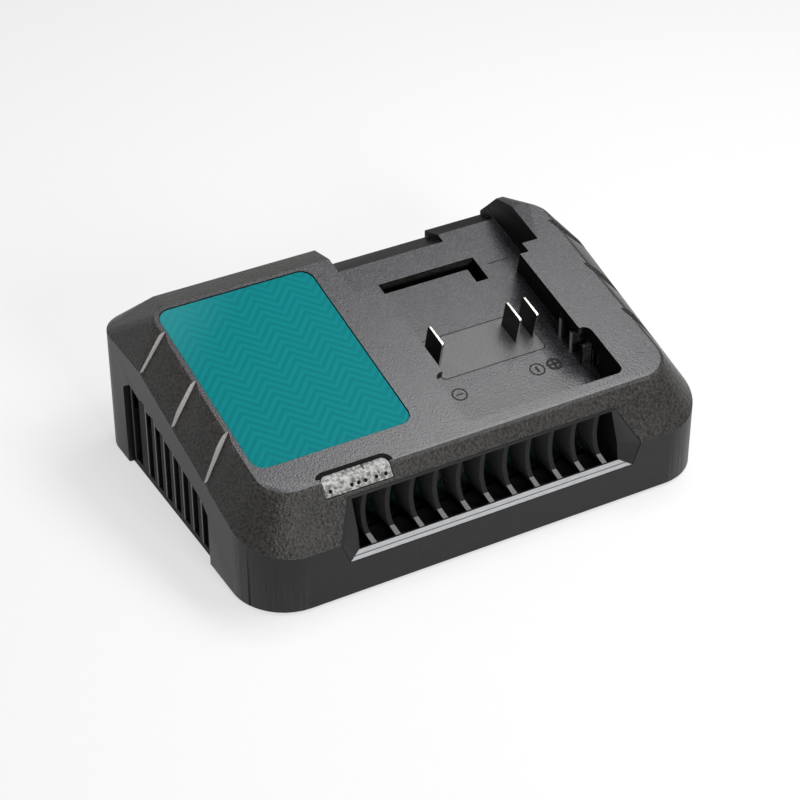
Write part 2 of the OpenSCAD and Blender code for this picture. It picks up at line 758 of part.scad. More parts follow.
// Front louvre insert: bevelled bezel with a sloping ledge, and a box behind it with bowed upright fins
module front_grille() color([0.3, 0.3, 0.31]) {
    box_half = louvre_half_inner + grille_wall;
    difference() {
        intersection() {
            along_y(front_y, front_y + fin_reach) louvre_outline(grille_gap);
            along_x(-side_x, side_x) polygon([
                [front_y + grille_gap, louvre_bottom - 1], [front_y + fin_reach + 1, louvre_bottom - 1],
                [front_y + fin_reach + 1, louvre_top + 1], [band_y(louvre_top + 1) + 0.2, louvre_top + 1],
                [band_y(parting_front_height) + 0.2, parting_front_height],
                [front_y + grille_gap, parting_front_height - 1]]);
            union() {
                along_x(-side_x, side_x) polygon([
                    [front_y - 1, louvre_bottom - 2], [front_y + bezel_depth, louvre_bottom - 2],
                    [front_y + bezel_depth, louvre_middle], [band_y(louvre_top) + bezel_depth / 2, louvre_top + 2],
                    [front_y - 1, louvre_top + 2]]);
                translate([-box_half, front_y - 1, 0]) cube([2 * box_half, fin_reach + 2, body_depth]);
            }
        }
        intersection() {
            union() {
                louvre_mouth();
                translate([-louvre_half_inner, front_y - 2, 0])
                    cube([2 * louvre_half_inner, bezel_depth + 2, body_depth]);
            }
            along_x(-side_x, side_x) polygon([
                [front_y - 2, louvre_bottom - 2], [front_y + ledge_depth, ledge_z],
                [front_y + fin_reach, ledge_z], [front_y + fin_reach, rail_z], [front_y - 2, rail_z]]);
        }
        louvre_cavity();
        along_x(-side_x, side_x) translate([front_y + ledge_depth / 2, louvre_bottom + ledge_depth / 2]) rotate(45)
            square([ledge_groove, 2 * ledge_groove], center = true);
    }
    difference() {
        translate([-box_half, front_y + wall, louvre_bottom - box_drop])
            cube([2 * box_half, fin_reach - wall, box_drop + 1]);
        louvre_cavity();
    }
    intersection() {
        along_x(-side_x, side_x) polygon(fin_profile());
        for (k = [0:fin_count - 1]) fin_arc(fin_middle + (k - (fin_count - 1) / 2) * fin_pitch);
    }
}

// Space between the fins, open to the inside of the housing
module louvre_cavity() {
    translate([-louvre_half_inner, cavity_y, cavity_z])
        cube([2 * louvre_half_inner, fin_reach, rail_z - cavity_z]);
}

// Side profile of a fin: its foot slopes like the ledge, its front edge leans back to the top rail,
// and its rear edge follows the front wall of the battery bay
function fin_profile() =
    [[cavity_y - 0.3, cavity_z - 0.3], [cavity_y - 0.3, ledge_z - 0.2], [cavity_y, ledge_z],
     [cavity_y + fin_foot, ledge_z + fin_foot], [band_y(rail_z) + 0.8, rail_z + 0.3],
     [front_y + fin_reach, rail_z + 0.3], [front_y + fin_reach + fin_tail, ledge_z + 7],
     [front_y + fin_reach + fin_tail, cavity_z - 0.3]];

// One bowed fin as a ring segment that runs along Y
module fin_arc(x) {
    middle = (louvre_bottom + louvre_top) / 2 + 1.5;
    intersection() {
        along_y(front_y - 1, front_y + fin_reach + fin_tail + 1) translate([x + fin_bow, middle]) difference() {
            circle(fin_bow + fin_thickness / 2, $fn = 96);
            circle(fin_bow - fin_thickness / 2, $fn = 96);
        }
        translate([x - fin_thickness, front_y, 0]) cube([fin_bow / 2, 2 * fin_reach, body_depth]);
    }
}

module terminal_block() color([0.16, 0.16, 0.17]) {
    difference() {
        union() {
            on_bay_floor(block_thickness) linear_extrude(block_thickness)
                rounded_rect([-block_width / 2 + fit_gap, block_start + fit_gap],
                    [block_width / 2 - fit_gap, block_start + block_length - fit_gap], 2);
            on_bay_floor(block_thickness) linear_extrude(block_thickness - floor_thickness)
                rounded_rect([-block_width / 2 - block_flange, block_start - block_flange],
                    [block_width / 2 + block_flange, block_start + block_length + block_flange], 2);
        }
        for (x = blade_places) on_bay_floor(overrun)
            translate([x - blade_thickness / 2, blade_start, 0]) cube([blade_thickness, blade_length, 2 * overrun]);
    }
}

blade_places = [-blade_offset, blade_offset - data_offset, blade_offset];
wire_diameter = 3.6;

// One upright contact blade with rounded upper corners and a tail below the block
module blade(index) {
    x = blade_places[index];
    on_bay_floor() translate([x - blade_thickness / 2, blade_start, 0]) {
        rotate([90, 0, 90]) linear_extrude(blade_thickness) {
            rounded_rect([0, 0], [blade_length, blade_height], 0.9);
            translate([0, -block_thickness]) square([blade_length, block_thickness + 2]);
            translate([blade_length / 2 - 1.2, -block_thickness - blade_tail]) square([2.4, blade_tail + 1]);
        }
    }
}

module blade_negative() color([0.86, 0.86, 0.84]) blade(0);
module blade_data() color([0.86, 0.86, 0.84]) blade(1);
module blade_positive() color([0.86, 0.86, 0.84]) blade(2);

// Foot of a blade's tail, in the housing's own frame
function tail_point(index) =
    let (v = bay_front + blade_start + blade_length / 2)
    let (w = -bay_depth - block_thickness - blade_tail + 0.3)
    [bay_x + blade_places[index], top_y0 + v * cos(top_tilt) - w * sin(top_tilt),
     top_z(top_y0) + v * sin(top_tilt) + w * cos(top_tilt)];

module terminal_wires() color([0.75, 0.1, 0.1]) {
    for (k = [0:2]) let (p = tail_point(k)) difference() {
        translate([p[0], p[1], board_height + board_thickness])
            cylinder(d = wire_diameter, h = p[2] + 2.5 - board_height - board_thickness);
        blade(k);
    }
}

// Figure-eight opening of the inlet
module figure_eight(width, height) {
    for (s = [-1, 1]) translate([s * (width - height) / 2, 0]) circle(d = height);
    square([width - height, height * 0.8], center = true);
}

module inlet_socket() color([0.09, 0.09, 0.1]) {
    translate([inlet_x, back_y - 0.3, inlet_z]) difference() {
        rotate([90, 0, 0]) linear_extrude(inlet_body_depth) difference() {
            square([inlet_body_width - 2 * fit_gap, inlet_body_height - 2 * fit_gap], center = true);
        }
        rotate([90, 0, 0]) translate([0, 0, -1]) linear_extrude(inlet_depth + 1)
            figure_eight(inlet_width, inlet_height);
        for (s = [-1, 1]) translate([s * pin_pitch / 2, 0, 0]) rotate([90, 0, 0])
            cylinder(d = pin_diameter, h = inlet_body_depth + 1);
    }
    translate([inlet_x, back_y - wall - 1.5, inlet_z]) difference() {
        cube([inlet_body_width + 2 * inlet_rim, 3, inlet_body_height + 2 * inlet_rim], center = true);
        cube([inlet_body_width - 2, 5, inlet_body_height - 2], center = true);
    }
}

module inlet_pins() color([0.8, 0.8, 0.78]) {
    for (s = [-1, 1]) translate([inlet_x + s * pin_pitch / 2, back_y - 0.3 - 2.4, inlet_z])
        rotate([90, 0, 0]) cylinder(d = pin_diameter, h = inlet_body_depth + 1.5);
}

board_top = board_height + board_thickness;

module circuit_board() color([0.1, 0.32, 0.16]) {
    difference() {
        translate([board_x - board_width / 2, board_y - board_depth / 2, board_height])
            cube([board_width, board_depth, board_thickness]);
        for (p = board_posts) translate([p[0], p[1], 0]) cylinder(d = 3, h = board_top + 1);
    }
}

module fuse() color([0.85, 0.82, 0.75]) {
    translate([-56, 22, board_top + 2.7]) rotate([0, 90, 0]) {
        cylinder(d = 5.2, h = 20);
        for (z = [0, 15]) translate([0, 0, z]) cylinder(d = 5.4, h = 5);
    }
}

module x_capacitor() color([0.75, 0.6, 0.15]) {
    translate([-36, 30.5, board_top]) cube([18, 9, 15]);
}

module line_choke() color([0.55, 0.3, 0.12]) {
    translate([-52, 9, board_top]) {
        cylinder(d = 15, h = 2);
        translate([0, 0, 9.7]) rotate([0, 90, 0]) rotate_extrude() translate([5.2, 0]) circle(2.8);
    }
}

module bridge_rectifier() color([0.12, 0.12, 0.13]) {
    translate([-34, 22, board_top]) {
        translate([0, 0, 3]) cube([22, 3.6, 15]);
        for (k = [0:3]) translate([1.6 + k * 5.8, 1.3, 0]) cube([1.2, 1, 3.2]);
    }
}

module bulk_capacitor() color([0.12, 0.2, 0.4]) {
    translate([-2, 30, board_top]) {
        cylinder(d = 18, h = 20);
        translate([0, 0, 20]) cylinder(d1 = 18, d2 = 16.6, h = 0.8);
    }
}

core_width = 30;
core_depth = 18;
core_height = 27;
core_yoke = core_width / 6;
core_post = core_width / 3;
bobbin_barrel = core_post + 2.4;
flange_diameter = core_width - 2 * core_yoke - 0.4;
winding_diameter = flange_diameter - 1.2;
transformer_at = [-22, 4, board_top];

module transformer_core() color([0.2, 0.2, 0.21]) {
    translate(transformer_at) {
        for (z = [0, core_height - core_yoke])
            translate([-core_width / 2, -core_depth / 2, z]) cube([core_width, core_depth, core_yoke]);
        for (x = [-core_width / 2, core_width / 2 - core_yoke])
            translate([x, -core_depth / 2, core_yoke - 0.1]) cube([core_yoke, core_depth, core_height - 2 * core_yoke + 0.2]);
        translate([0, 0, core_yoke - 0.1]) cylinder(d = core_post, h = core_height - 2 * core_yoke + 0.2);
    }
}

module transformer_bobbin() color([0.1, 0.1, 0.1]) {
    inner = core_height - 2 * core_yoke;
    translate(transformer_at + [0, 0, core_yoke]) difference() {
        union() {
            cylinder(d = bobbin_barrel, h = inner);
            for (z = [0, inner - 1]) translate([0, 0, z]) cylinder(d = flange_diameter, h = 1);
        }
        translate([0, 0, -1]) cylinder(d = core_post + 0.2, h = inner + 2);
    }
}

module transformer_winding() color([0.8, 0.65, 0.2]) {
    inner = core_height - 2 * core_yoke;
    translate(transformer_at + [0, 0, core_yoke + 1]) difference() {
        cylinder(d = winding_diameter, h = inner - 2);
        translate([0, 0, -1]) cylinder(d = bobbin_barrel, h = inner);
    }
}

// Upright sheet heat sink with fins along X or Y
module heat_sink(length, height, fins) {
    cube([2.4, length, height]);
    for (k = [0:fins - 1]) translate([2.3, k * (length - 1.6) / (fins - 1), 0]) cube([5.1, 1.6, height]);
}

module primary_heat_sink() color([0.7, 0.71, 0.72]) {
    translate([-52, -34, board_top]) mirror([1, 0, 0]) heat_sink(34, 21, 7);
}

// Power device in a flat case with three legs, standing against a heat sink
module power_device() {
    translate([0, 0, 5]) cube([4.2, 10, 9]);
    translate([0, 0, 14]) difference() {
        cube([1.3, 10, 6]);
        translate([-1, 5, 3]) rotate([0, 90, 0]) cylinder(d = 3.4, h = 4);
    }
    for (k = [-1:1]) translate([2, 5 + 2.54 * k - 0.4, 0]) cube([0.6, 0.8, 5.1]);
}

module power_transistor() color([0.1, 0.1, 0.11]) translate([-52, -24, board_top]) power_device();

module secondary_heat_sink() color([0.7, 0.71, 0.72]) {
    translate([22, -2, board_top]) heat_sink(30, 17, 6);
}

module output_rectifier() color([0.1, 0.1, 0.11]) {
    translate([22, 15, board_top]) mirror([1, 0, 0]) scale([1, 1, 0.8]) power_device();
}

capacitor_diameter = 10;
capacitor_x = tail_point(0)[0] - wire_diameter / 2 - capacitor_diameter / 2 - 0.6;

// Two capacitors in a row behind a third, clear of the leftmost wire
module output_capacitors() color([0.1, 0.25, 0.25]) {
    for (p = [[capacitor_x - 10.6, -11], [capacitor_x, -11], [capacitor_x, -22]])
        translate([p[0], p[1], board_top]) cylinder(d = capacitor_diameter, h = 12.5);
}

module control_chip() color([0.09, 0.09, 0.1]) {
    translate([-12, -36, board_top]) {
        translate([0, 0, 0.6]) cube([18, 6.4, 3.2]);
        for (k = [0:6], y = [-0.8, 6.4]) translate([1 + k * 2.54, y, 0]) cube([0.8, 0.8, 2.2]);
    }
}

led_x = [window_left + 6.5, window_left + 12.5, window_left + 20.5];
led_board_thickness = 1.2;

module led_board() color([0.1, 0.32, 0.16]) {
    on_top(led_board_depth + led_board_thickness) translate([window_left + 1, led_board_start, 0])
        cube([window_width - 2, 9, led_board_thickness]);
}

module indicator_leds() color([0.9, 0.9, 0.85]) {
    for (x = led_x) on_top(led_board_depth) translate([x, led_board_start + 2, 0]) {
        cylinder(d = 3, h = 2.6);
        translate([0, 0, 2.6]) intersection() {
            sphere(d = 3);
            cylinder(d = 4, h = 2);
        }
    }
}

hub_diameter = 21;
fan_bore = fan_size - 2;

// Frame whose Z axis is the fan's turning axis, with its origin at the inlet face
module on_fan() {
    translate([fan_x, fan_y, fan_z]) rotate([0, 90, 0]) children();
}

bearing_bore = fan_shaft_diameter + 2 * bearing_clearance;
bearing_diameter = bearing_bore + 2.4;

module fan_frame() color([0.08, 0.08, 0.09]) {
    corner = fan_size / 2 - 4;
    on_fan() difference() {
        union() {
            difference() {
                translate([-fan_size / 2, -fan_size / 2, 0]) cube([fan_size, fan_size, fan_thickness]);
                translate([0, 0, -1]) cylinder(d = fan_bore, h = fan_thickness + 2, $fn = 96);
            }
            translate([0, 0, fan_thickness - 1.2]) cylinder(d = hub_diameter, h = 1.2);
            for (a = [0:120:359]) rotate(a + 45) translate([0, -1.2, fan_thickness - 1.2])
                cube([fan_bore / 2 + 1, 2.4, 1.2]);
        }
        for (x = [-corner, corner], y = [-corner, corner]) translate([x, y, -1]) cylinder(d = 3.4, h = fan_thickness + 2);
        translate([0, 0, -1]) cylinder(d = bearing_diameter, h = fan_thickness + 2);
    }
}

module fan_bearing() color([0.72, 0.6, 0.35]) {
    on_fan() difference() {
        translate([0, 0, 2.6]) cylinder(d = bearing_diameter, h = fan_thickness - 2.6);
        translate([0, 0, 1]) cylinder(d = bearing_bore, h = fan_thickness + 1);
    }
}

module fan_stator() color([0.6, 0.35, 0.15]) {
    on_fan() translate([0, 0, 3.4]) difference() {
        union() {
            cylinder(d = bearing_diameter + 3, h = fan_thickness - 1.2 - 3.4);
            for (a = [0:90:359]) rotate(a) translate([0, -2, 0.6]) cube([7.6, 4, fan_thickness - 1.2 - 4.6]);
        }
        translate([0, 0, -1]) cylinder(d = bearing_diameter, h = fan_thickness);
    }
}

// One cambered and pitched fan blade, drawn as a ring segment that runs outwards from the hub
module fan_blade(reach, height) {
    start = hub_diameter / 2 - 1.1;
    rise = height - 1.4;
    chord = sqrt(49 + rise * rise);
    lift = sqrt(81 - chord * chord / 4);
    translate([start, 0, 0]) rotate([90, 0, 90]) linear_extrude(reach - start) intersection() {
        translate([lift * rise / chord, 0.6 + rise / 2 - lift * 7 / chord]) difference() {
            circle(9.5, $fn = 96);
            circle(8.5, $fn = 96);
        }
        translate([-3.7, 0.4]) square([7.4, height - 1]);
    }
}

module fan_impeller() color([0.1, 0.1, 0.11]) {
    blade_span = fan_bore / 2 - tip_gap;
    cup = fan_thickness - 2;
    on_fan() {
        difference() {
            cylinder(d = hub_diameter, h = cup);
            translate([0, 0, 1.4]) cylinder(d = hub_diameter - 2.4, h = cup);
            translate([0, 0, -1]) cylinder(d = fan_shaft_diameter, h = cup);
        }
        intersection() {
            for (k = [0:impeller_blades - 1]) rotate(k * 360 / impeller_blades) fan_blade(blade_span + 1, cup);
            translate([0, 0, -1]) cylinder(r = blade_span, h = cup + 2, $fn = 96);
        }
    }
}

module fan_shaft() color([0.8, 0.8, 0.82]) {
    on_fan() cylinder(d = fan_shaft_diameter, h = fan_thickness - 0.6);
}

module board_screws() color([0.75, 0.75, 0.76]) {
    for (p = board_posts) translate([p[0], p[1], board_top]) {
        cylinder(d = 5, h = 1.8);
        translate([0, 0, -7]) cylinder(d = 2.5, h = 7.1);
    }
}

module housing_screws() color([0.7, 0.7, 0.71]) {
    for (p = screw_places) translate([p[0], p[1], p[2] - 3]) difference() {
        union() {
            translate([0, 0, -head_height]) cylinder(d = screw_head, h = head_height);
            translate([0, 0, -0.1]) cylinder(d = screw_diameter, h = screw_length - head_height);
        }
        translate([0, 0, -head_height - 1]) cylinder(d = 2.4, h = 2.2, $fn = 6);
    }
}

module rubber_feet() color([0.06, 0.06, 0.06]) {
    for (p = foot_places) translate([p[0], p[1], 0]) cylinder(d = foot_diameter, h = foot_height + foot_pocket);
}

top_cover();
base_cover();
label_plate();
indicator_lens();
front_grille();
terminal_block();
blade_negative();
blade_data();
blade_positive();
terminal_wires();
inlet_socket();
inlet_pins();
circuit_board();
fuse();
x_capacitor();
line_choke();
bridge_rectifier();
bulk_capacitor();
transformer_core();
transformer_bobbin();
transformer_winding();
primary_heat_sink();
power_transistor();
secondary_heat_sink();
output_rectifier();
output_capacitors();
control_chip();
led_board();
indicator_leds();
fan_frame();
fan_stator();
fan_bearing();
fan_impeller();
fan_shaft();
board_screws();
housing_screws();
rubber_feet();
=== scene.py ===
"""Looks of a slide-in battery charger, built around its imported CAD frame.

Every length is in metres and every place is in the frame's own axes: +X runs right
along the front louvre, +Y to the back, +Z up, with the origin on the table.
"""

import logging
import math
from dataclasses import dataclass, field
from enum import Enum
from typing import Callable

import bmesh
import bpy
from bmesh.types import BMesh
from bpy.types import Material, MeshPolygon, Node, NodeSocket, Object, World
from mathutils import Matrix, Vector


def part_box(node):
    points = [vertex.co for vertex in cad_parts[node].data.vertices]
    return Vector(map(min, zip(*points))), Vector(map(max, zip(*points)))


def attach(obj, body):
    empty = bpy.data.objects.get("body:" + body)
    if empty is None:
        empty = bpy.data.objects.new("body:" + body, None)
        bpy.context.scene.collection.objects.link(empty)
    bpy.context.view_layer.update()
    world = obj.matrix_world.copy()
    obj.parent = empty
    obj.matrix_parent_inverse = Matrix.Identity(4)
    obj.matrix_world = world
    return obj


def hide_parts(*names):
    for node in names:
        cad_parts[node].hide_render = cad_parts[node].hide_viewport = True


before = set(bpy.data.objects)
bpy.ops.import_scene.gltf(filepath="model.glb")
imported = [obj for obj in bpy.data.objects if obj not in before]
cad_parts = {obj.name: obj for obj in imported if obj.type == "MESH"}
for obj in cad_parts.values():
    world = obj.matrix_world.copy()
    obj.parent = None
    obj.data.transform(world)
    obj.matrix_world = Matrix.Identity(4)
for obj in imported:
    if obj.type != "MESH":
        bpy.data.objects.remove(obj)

LOG = logging.getLogger("charger")
MM = 0.001
ROOT_BODY = "housing"

TOP_TILT = math.radians(13)
TOP_NORMAL = Vector((0, -math.sin(TOP_TILT), math.cos(TOP_TILT)))
BAND_NORMAL = Vector((0, -0.84, 0.55)).normalized()
LEDGE_NORMAL = Vector((0, -1, 1)).normalized()

# Points this close are one point, and faces this little apart in angle are one face.
WELD_DISTANCE = 0.002 * MM
FLAT_ANGLE = math.radians(0.4)
# Edges sharper than this stay sharp in the shading and take a rounding.
SHARP_ANGLE = math.radians(27)
# Part of a face's normal along an axis from which the face looks along that axis.
FACING = 0.9
# Depth of a flat side, and the area from which a level of the upper shell counts.
LEVEL_STEP = 0.2 * MM
LEVEL_AREA = 200 * MM * MM
# Depth of a laid plate below its surface, and the corners of its round outlines.
PLATE_ROOT = 0.05 * MM
ROUND_STEPS = 24
DOT_STEPS = 20


class Direction(Enum):
    """Axis along which a brushed or streaked finish runs."""

    ALONG_X = (1, 12, 12)
    ALONG_Y = (12, 1, 12)
    ALONG_Z = (12, 12, 1)


@dataclass(frozen=True)
class Colour:
    """A colour written as 8-bit screen values."""

    red: int
    green: int
    blue: int

    def linear(self) -> tuple[float, float, float, float]:
        """The colour as linear light, with an opacity of one.

        Returns:
            Red, green, blue and alpha.
        """
        channels = (self.red / 255, self.green / 255, self.blue / 255)
        light = [c / 12.92 if c <= 0.04045 else ((c + 0.055) / 1.055) ** 2.4 for c in channels]
        return (*light, 1.0)

    def shaded(self, share: float) -> "Colour":
        """The same colour made darker or lighter by a share."""
        channels = (self.red, self.green, self.blue)
        return Colour(*[max(0, min(255, round(c * (1 + share)))) for c in channels])


class NodeGraph:
    """Short way to build a node tree."""

    def __init__(self, owner: Material | World) -> None:
        """Empties the node tree of a material or a world.

        Args:
            owner: The material or the world.
        """
        owner.use_nodes = True
        self.tree = owner.node_tree
        self.tree.nodes.clear()

    def add(self, kind: str, settings: dict | None = None, **sockets: object) -> Node:
        """Adds a node.

        Args:
            kind: Blender's name of the node type.
            settings: Properties of the node itself.
            sockets: Values of input sockets, with spaces written as underscores.

        Returns:
            The new node.
        """
        node = self.tree.nodes.new(kind)
        for key, value in (settings or {}).items():
            setattr(node, key, value)
        for key, value in sockets.items():
            node.inputs[key.replace("_", " ")].default_value = value
        return node

    def feed(self, value: object, socket: NodeSocket) -> None:
        """Gives an input socket its value.

        Args:
            value: A number, a colour, an output socket, or a node whose first output is used.
            socket: The input socket.
        """
        if isinstance(value, Node):
            self.tree.links.new(value.outputs[0], socket)
        elif isinstance(value, NodeSocket):
            self.tree.links.new(value, socket)
        else:
            socket.default_value = value.linear() if isinstance(value, Colour) else value

    def math(self, operation: str, *values: object) -> Node:
        """A math node.

        Args:
            operation: Name of the operation.
            values: Whatever feed() takes, for each input in order.

        Returns:
            The math node.
        """
        node = self.add("ShaderNodeMath", {"operation": operation})
        for index, value in enumerate(values):
            self.feed(value, node.inputs[index])
        return node

    def remap(self, source: Node, low: float, high: float, to_low: float = 0.0,
              to_high: float = 1.0, smooth: bool = False) -> Node:
        """Maps a node's first output from one range to another and holds it at both ends.

        Args:
            source: The node.
            low: Start of the source's range.
            high: End of the source's range.
            to_low: Result at the start.
            to_high: Result at the end.
            smooth: Whether it eases in and out.

        Returns:
            The map node.
        """
        settings = {"interpolation_type": "SMOOTHSTEP"} if smooth else {}
        node = self.add("ShaderNodeMapRange", settings, From_Min=low, From_Max=high, To_Min=to_low,
                        To_Max=to_high)
        self.feed(source, node.inputs["Value"])
        return node

    def blend_colours(self, factor: Node, low: object, high: object) -> NodeSocket:
        """Mixes two colours.

        Args:
            factor: Node whose first output is the share of the second colour.
            low: First colour, or an output socket that holds it.
            high: Second colour, or an output socket that holds it.

        Returns:
            The output socket with the mixed colour.
        """
        node = self.add("ShaderNodeMix", {"data_type": "RGBA"})
        for index, value in ((0, factor), (6, low), (7, high)):
            self.feed(value, node.inputs[index])
        return node.outputs[2]


class MaterialGraph(NodeGraph):
    """Node tree of one material, around its Principled shader."""

    def __init__(self, name: str) -> None:
        """Starts an empty material with an output and a Principled shader.

        Args:
            name: Name of the material.
        """
        self.material = bpy.data.materials.new(name)
        super().__init__(self.material)
        self.output = self.add("ShaderNodeOutputMaterial")
        self.shader = self.add("ShaderNodeBsdfPrincipled")
        self.feed(self.shader, self.output.inputs["Surface"])
        self.place = self.add("ShaderNodeTexCoord").outputs["Object"]

    def surface(self, **sockets: object) -> None:
        """Sets constant values on the Principled shader."""
        for key, value in sockets.items():
            self.shader.inputs[key.replace("_", " ")].default_value = value

    def noise(self, size: float, detail: float = 2.0, direction: Direction | None = None) -> Node:
        """Noise whose features have a real size.

        Args:
            size: Feature size in metres.
            detail: Number of finer layers.
            direction: Axis along which the features are drawn out, if any.

        Returns:
            The noise node.
        """
        node = self.add("ShaderNodeTexNoise", Scale=1 / size, Detail=detail)
        place: object = self.place
        if direction is not None:
            place = self.add("ShaderNodeMapping", Scale=direction.value)
            self.feed(self.place, place.inputs["Vector"])
        self.feed(place, node.inputs["Vector"])
        return node

    def paint(self, colour: NodeSocket) -> None:
        """Feeds a colour into the shader's base colour."""
        self.feed(colour, self.shader.inputs["Base Color"])

    def vary_roughness(self, source: Node, low: float, high: float) -> None:
        """Lets a node's first output vary the roughness between two values."""
        self.feed(self.remap(source, 0.3, 0.7, low, high), self.shader.inputs["Roughness"])

    def bump(self, height: Node, depth: float, strength: float = 1.0) -> None:
        """Adds relief to the surface.

        Args:
            height: Node whose first output is the height.
            depth: Depth of the relief in metres.
            strength: Share of the relief that shows; less than zero turns it inside out.
        """
        node = self.add("ShaderNodeBump", Strength=strength, Distance=depth)
        self.feed(height, node.inputs["Height"])
        self.feed(node, self.shader.inputs["Normal"])


class Finish:
    """Base of the finishes, each of which can make a material for a piece."""

    def material(self, name: str) -> Material:
        """Builds the finish as a node material.

        Args:
            name: Name of the material.

        Returns:
            The material.
        """
        graph = MaterialGraph(name)
        self.draw(graph)
        return graph.material

    def draw(self, graph: MaterialGraph) -> None:
        """Adds the finish's own nodes to a graph."""
        raise NotImplementedError


@dataclass(frozen=True)
class MouldedPlastic(Finish):
    """Moulded plastic with a spark-eroded grain and faint mottling."""

    colour: Colour
    grain: float = 0.5 * MM
    depth: float = 0.03 * MM
    roughness: float = 0.5
    mottling: float = 0.12
    specular: float = 0.5
    coat: float = 0.0
    patch: float = 9 * MM

    def draw(self, graph: MaterialGraph) -> None:
        """Adds crisp specks over soft patches, with the specks as relief.

        Args:
            graph: Graph of the material.
        """
        patches = graph.noise(self.patch, 3)
        specks = graph.noise(self.grain, 2)
        crisp = graph.remap(specks, 0.36, 0.64)
        soft, hard = graph.math("MULTIPLY", patches, 0.4), graph.math("MULTIPLY", crisp, 0.6)
        share = graph.math("ADD", soft, hard)
        low, high = self.colour.shaded(-self.mottling), self.colour.shaded(self.mottling)
        graph.paint(graph.blend_colours(share, low, high))
        graph.vary_roughness(specks, self.roughness - 0.07, self.roughness + 0.07)
        graph.bump(specks, self.depth)
        graph.surface(Specular_IOR_Level=self.specular, Coat_Weight=self.coat, Coat_Roughness=0.25)


@dataclass(frozen=True)
class StreakedSatin(Finish):
    """Satin strip with fine streaks along one axis; its light colour and its streaks of colour are a
    painted highlight.
    """

    colour: Colour
    direction: Direction = Direction.ALONG_X
    roughness: float = 0.38
    streak: float = 4.2 * MM

    def draw(self, graph: MaterialGraph) -> None:
        """Adds long streaks of colour as painted streaks of reflection, and streaks of roughness and
        relief.

        Args:
            graph: Graph of the material.
        """
        streaks = graph.noise(self.streak, 4, self.direction)
        graph.paint(graph.blend_colours(streaks, self.colour.shaded(-0.16), self.colour.shaded(0.16)))
        graph.vary_roughness(streaks, self.roughness - 0.08, self.roughness + 0.1)
        graph.bump(streaks, 0.012 * MM)


@dataclass(frozen=True)
class LabelFilm(Finish):
    """Printed film with faint tone-on-tone chevrons, and a painted sheen that makes it a little lighter
    at its rear left corner.
    """

    colour: Colour
    dark: Colour
    light: Colour
    pitch: float = 7.0 * MM
    stripe: float = 1.9 * MM
    painted_sheen_start: float = 78 * MM
    painted_sheen_end: float = 122 * MM

    def draw(self, graph: MaterialGraph) -> None:
        """Adds the chevrons, the painted sheen at the lighter corner and the film's fibres.

        Args:
            graph: Graph of the material.
        """
        axes = graph.add("ShaderNodeSeparateXYZ")
        graph.feed(graph.place, axes.inputs["Vector"])
        right, back = axes.outputs[0], axes.outputs[1]
        zigzag = graph.math("ADD", graph.math("PINGPONG", right, self.pitch), back)
        band = graph.math("PINGPONG", zigzag, self.stripe)
        stripe = graph.remap(band, self.stripe * 0.3, self.stripe * 0.7, 0.0, 0.65, smooth=True)
        pattern = graph.blend_colours(stripe, self.colour, self.dark)
        # Painted sheen: lighter towards the rear left corner.
        corner = graph.math("SUBTRACT", back, right)
        painted_sheen = graph.remap(corner, self.painted_sheen_start, self.painted_sheen_end, 0.0, 0.45, smooth=True)
        graph.paint(graph.blend_colours(painted_sheen, pattern, self.light))
        fibres = graph.noise(0.4 * MM, 2)
        graph.vary_roughness(fibres, 0.44, 0.56)
        graph.bump(fibres, 0.008 * MM)
        graph.surface(Specular_IOR_Level=0.04)


@dataclass(frozen=True)
class FrostedClear(Finish):
    """Clear plastic with a light frosting and faint moulding marks."""

    colour: Colour
    clearness: float = 0.75
    roughness: float = 0.22
    haze: float = 0.3

    def draw(self, graph: MaterialGraph) -> None:
        """Adds patches of haze to the clear plastic.

        Args:
            graph: Graph of the material.
        """
        haze = graph.noise(1.5 * MM, 3)
        patchy = graph.remap(haze, 0.4, 0.58)
        graph.paint(graph.blend_colours(patchy, self.colour.shaded(-self.haze), self.colour))
        graph.vary_roughness(haze, self.roughness - 0.06, self.roughness + 0.12)
        graph.bump(haze, 0.16 * MM)
        graph.surface(Transmission_Weight=self.clearness, IOR=1.49)


@dataclass(frozen=True)
class PlatedMetal(Finish):
    """Plated or drawn metal with fine lines along one axis."""

    colour: Colour
    direction: Direction = Direction.ALONG_Z
    roughness: float = 0.28

    def draw(self, graph: MaterialGraph) -> None:
        """Adds the fine lines to the metal.

        Args:
            graph: Graph of the material.
        """
        lines = graph.noise(1.6 * MM, 5, self.direction)
        graph.paint(graph.blend_colours(lines, self.colour.shaded(-0.1), self.colour.shaded(0.06)))
        graph.vary_roughness(lines, self.roughness - 0.06, self.roughness + 0.12)
        graph.bump(lines, 0.006 * MM)
        graph.surface(Metallic=1.0)


@dataclass(frozen=True)
class WoundWire(Finish):
    """Enamelled wire or tape wound round one axis."""

    colour: Colour
    gap: Colour
    pitch: float = 0.7 * MM
    axis: str = "Z"
    metallic: float = 0.7
    roughness: float = 0.34

    def draw(self, graph: MaterialGraph) -> None:
        """Adds one wave for each turn of the wire.

        Args:
            graph: Graph of the material.
        """
        turns = graph.add("ShaderNodeTexWave", {"bands_direction": self.axis}, Scale=0.314 / self.pitch,
                          Distortion=0.6, Detail=1.0)
        graph.feed(graph.place, turns.inputs["Vector"])
        graph.paint(graph.blend_colours(turns, self.gap, self.colour))
        graph.bump(turns, 0.12 * MM)
        graph.vary_roughness(turns, self.roughness - 0.06, self.roughness + 0.1)
        graph.surface(Metallic=self.metallic)


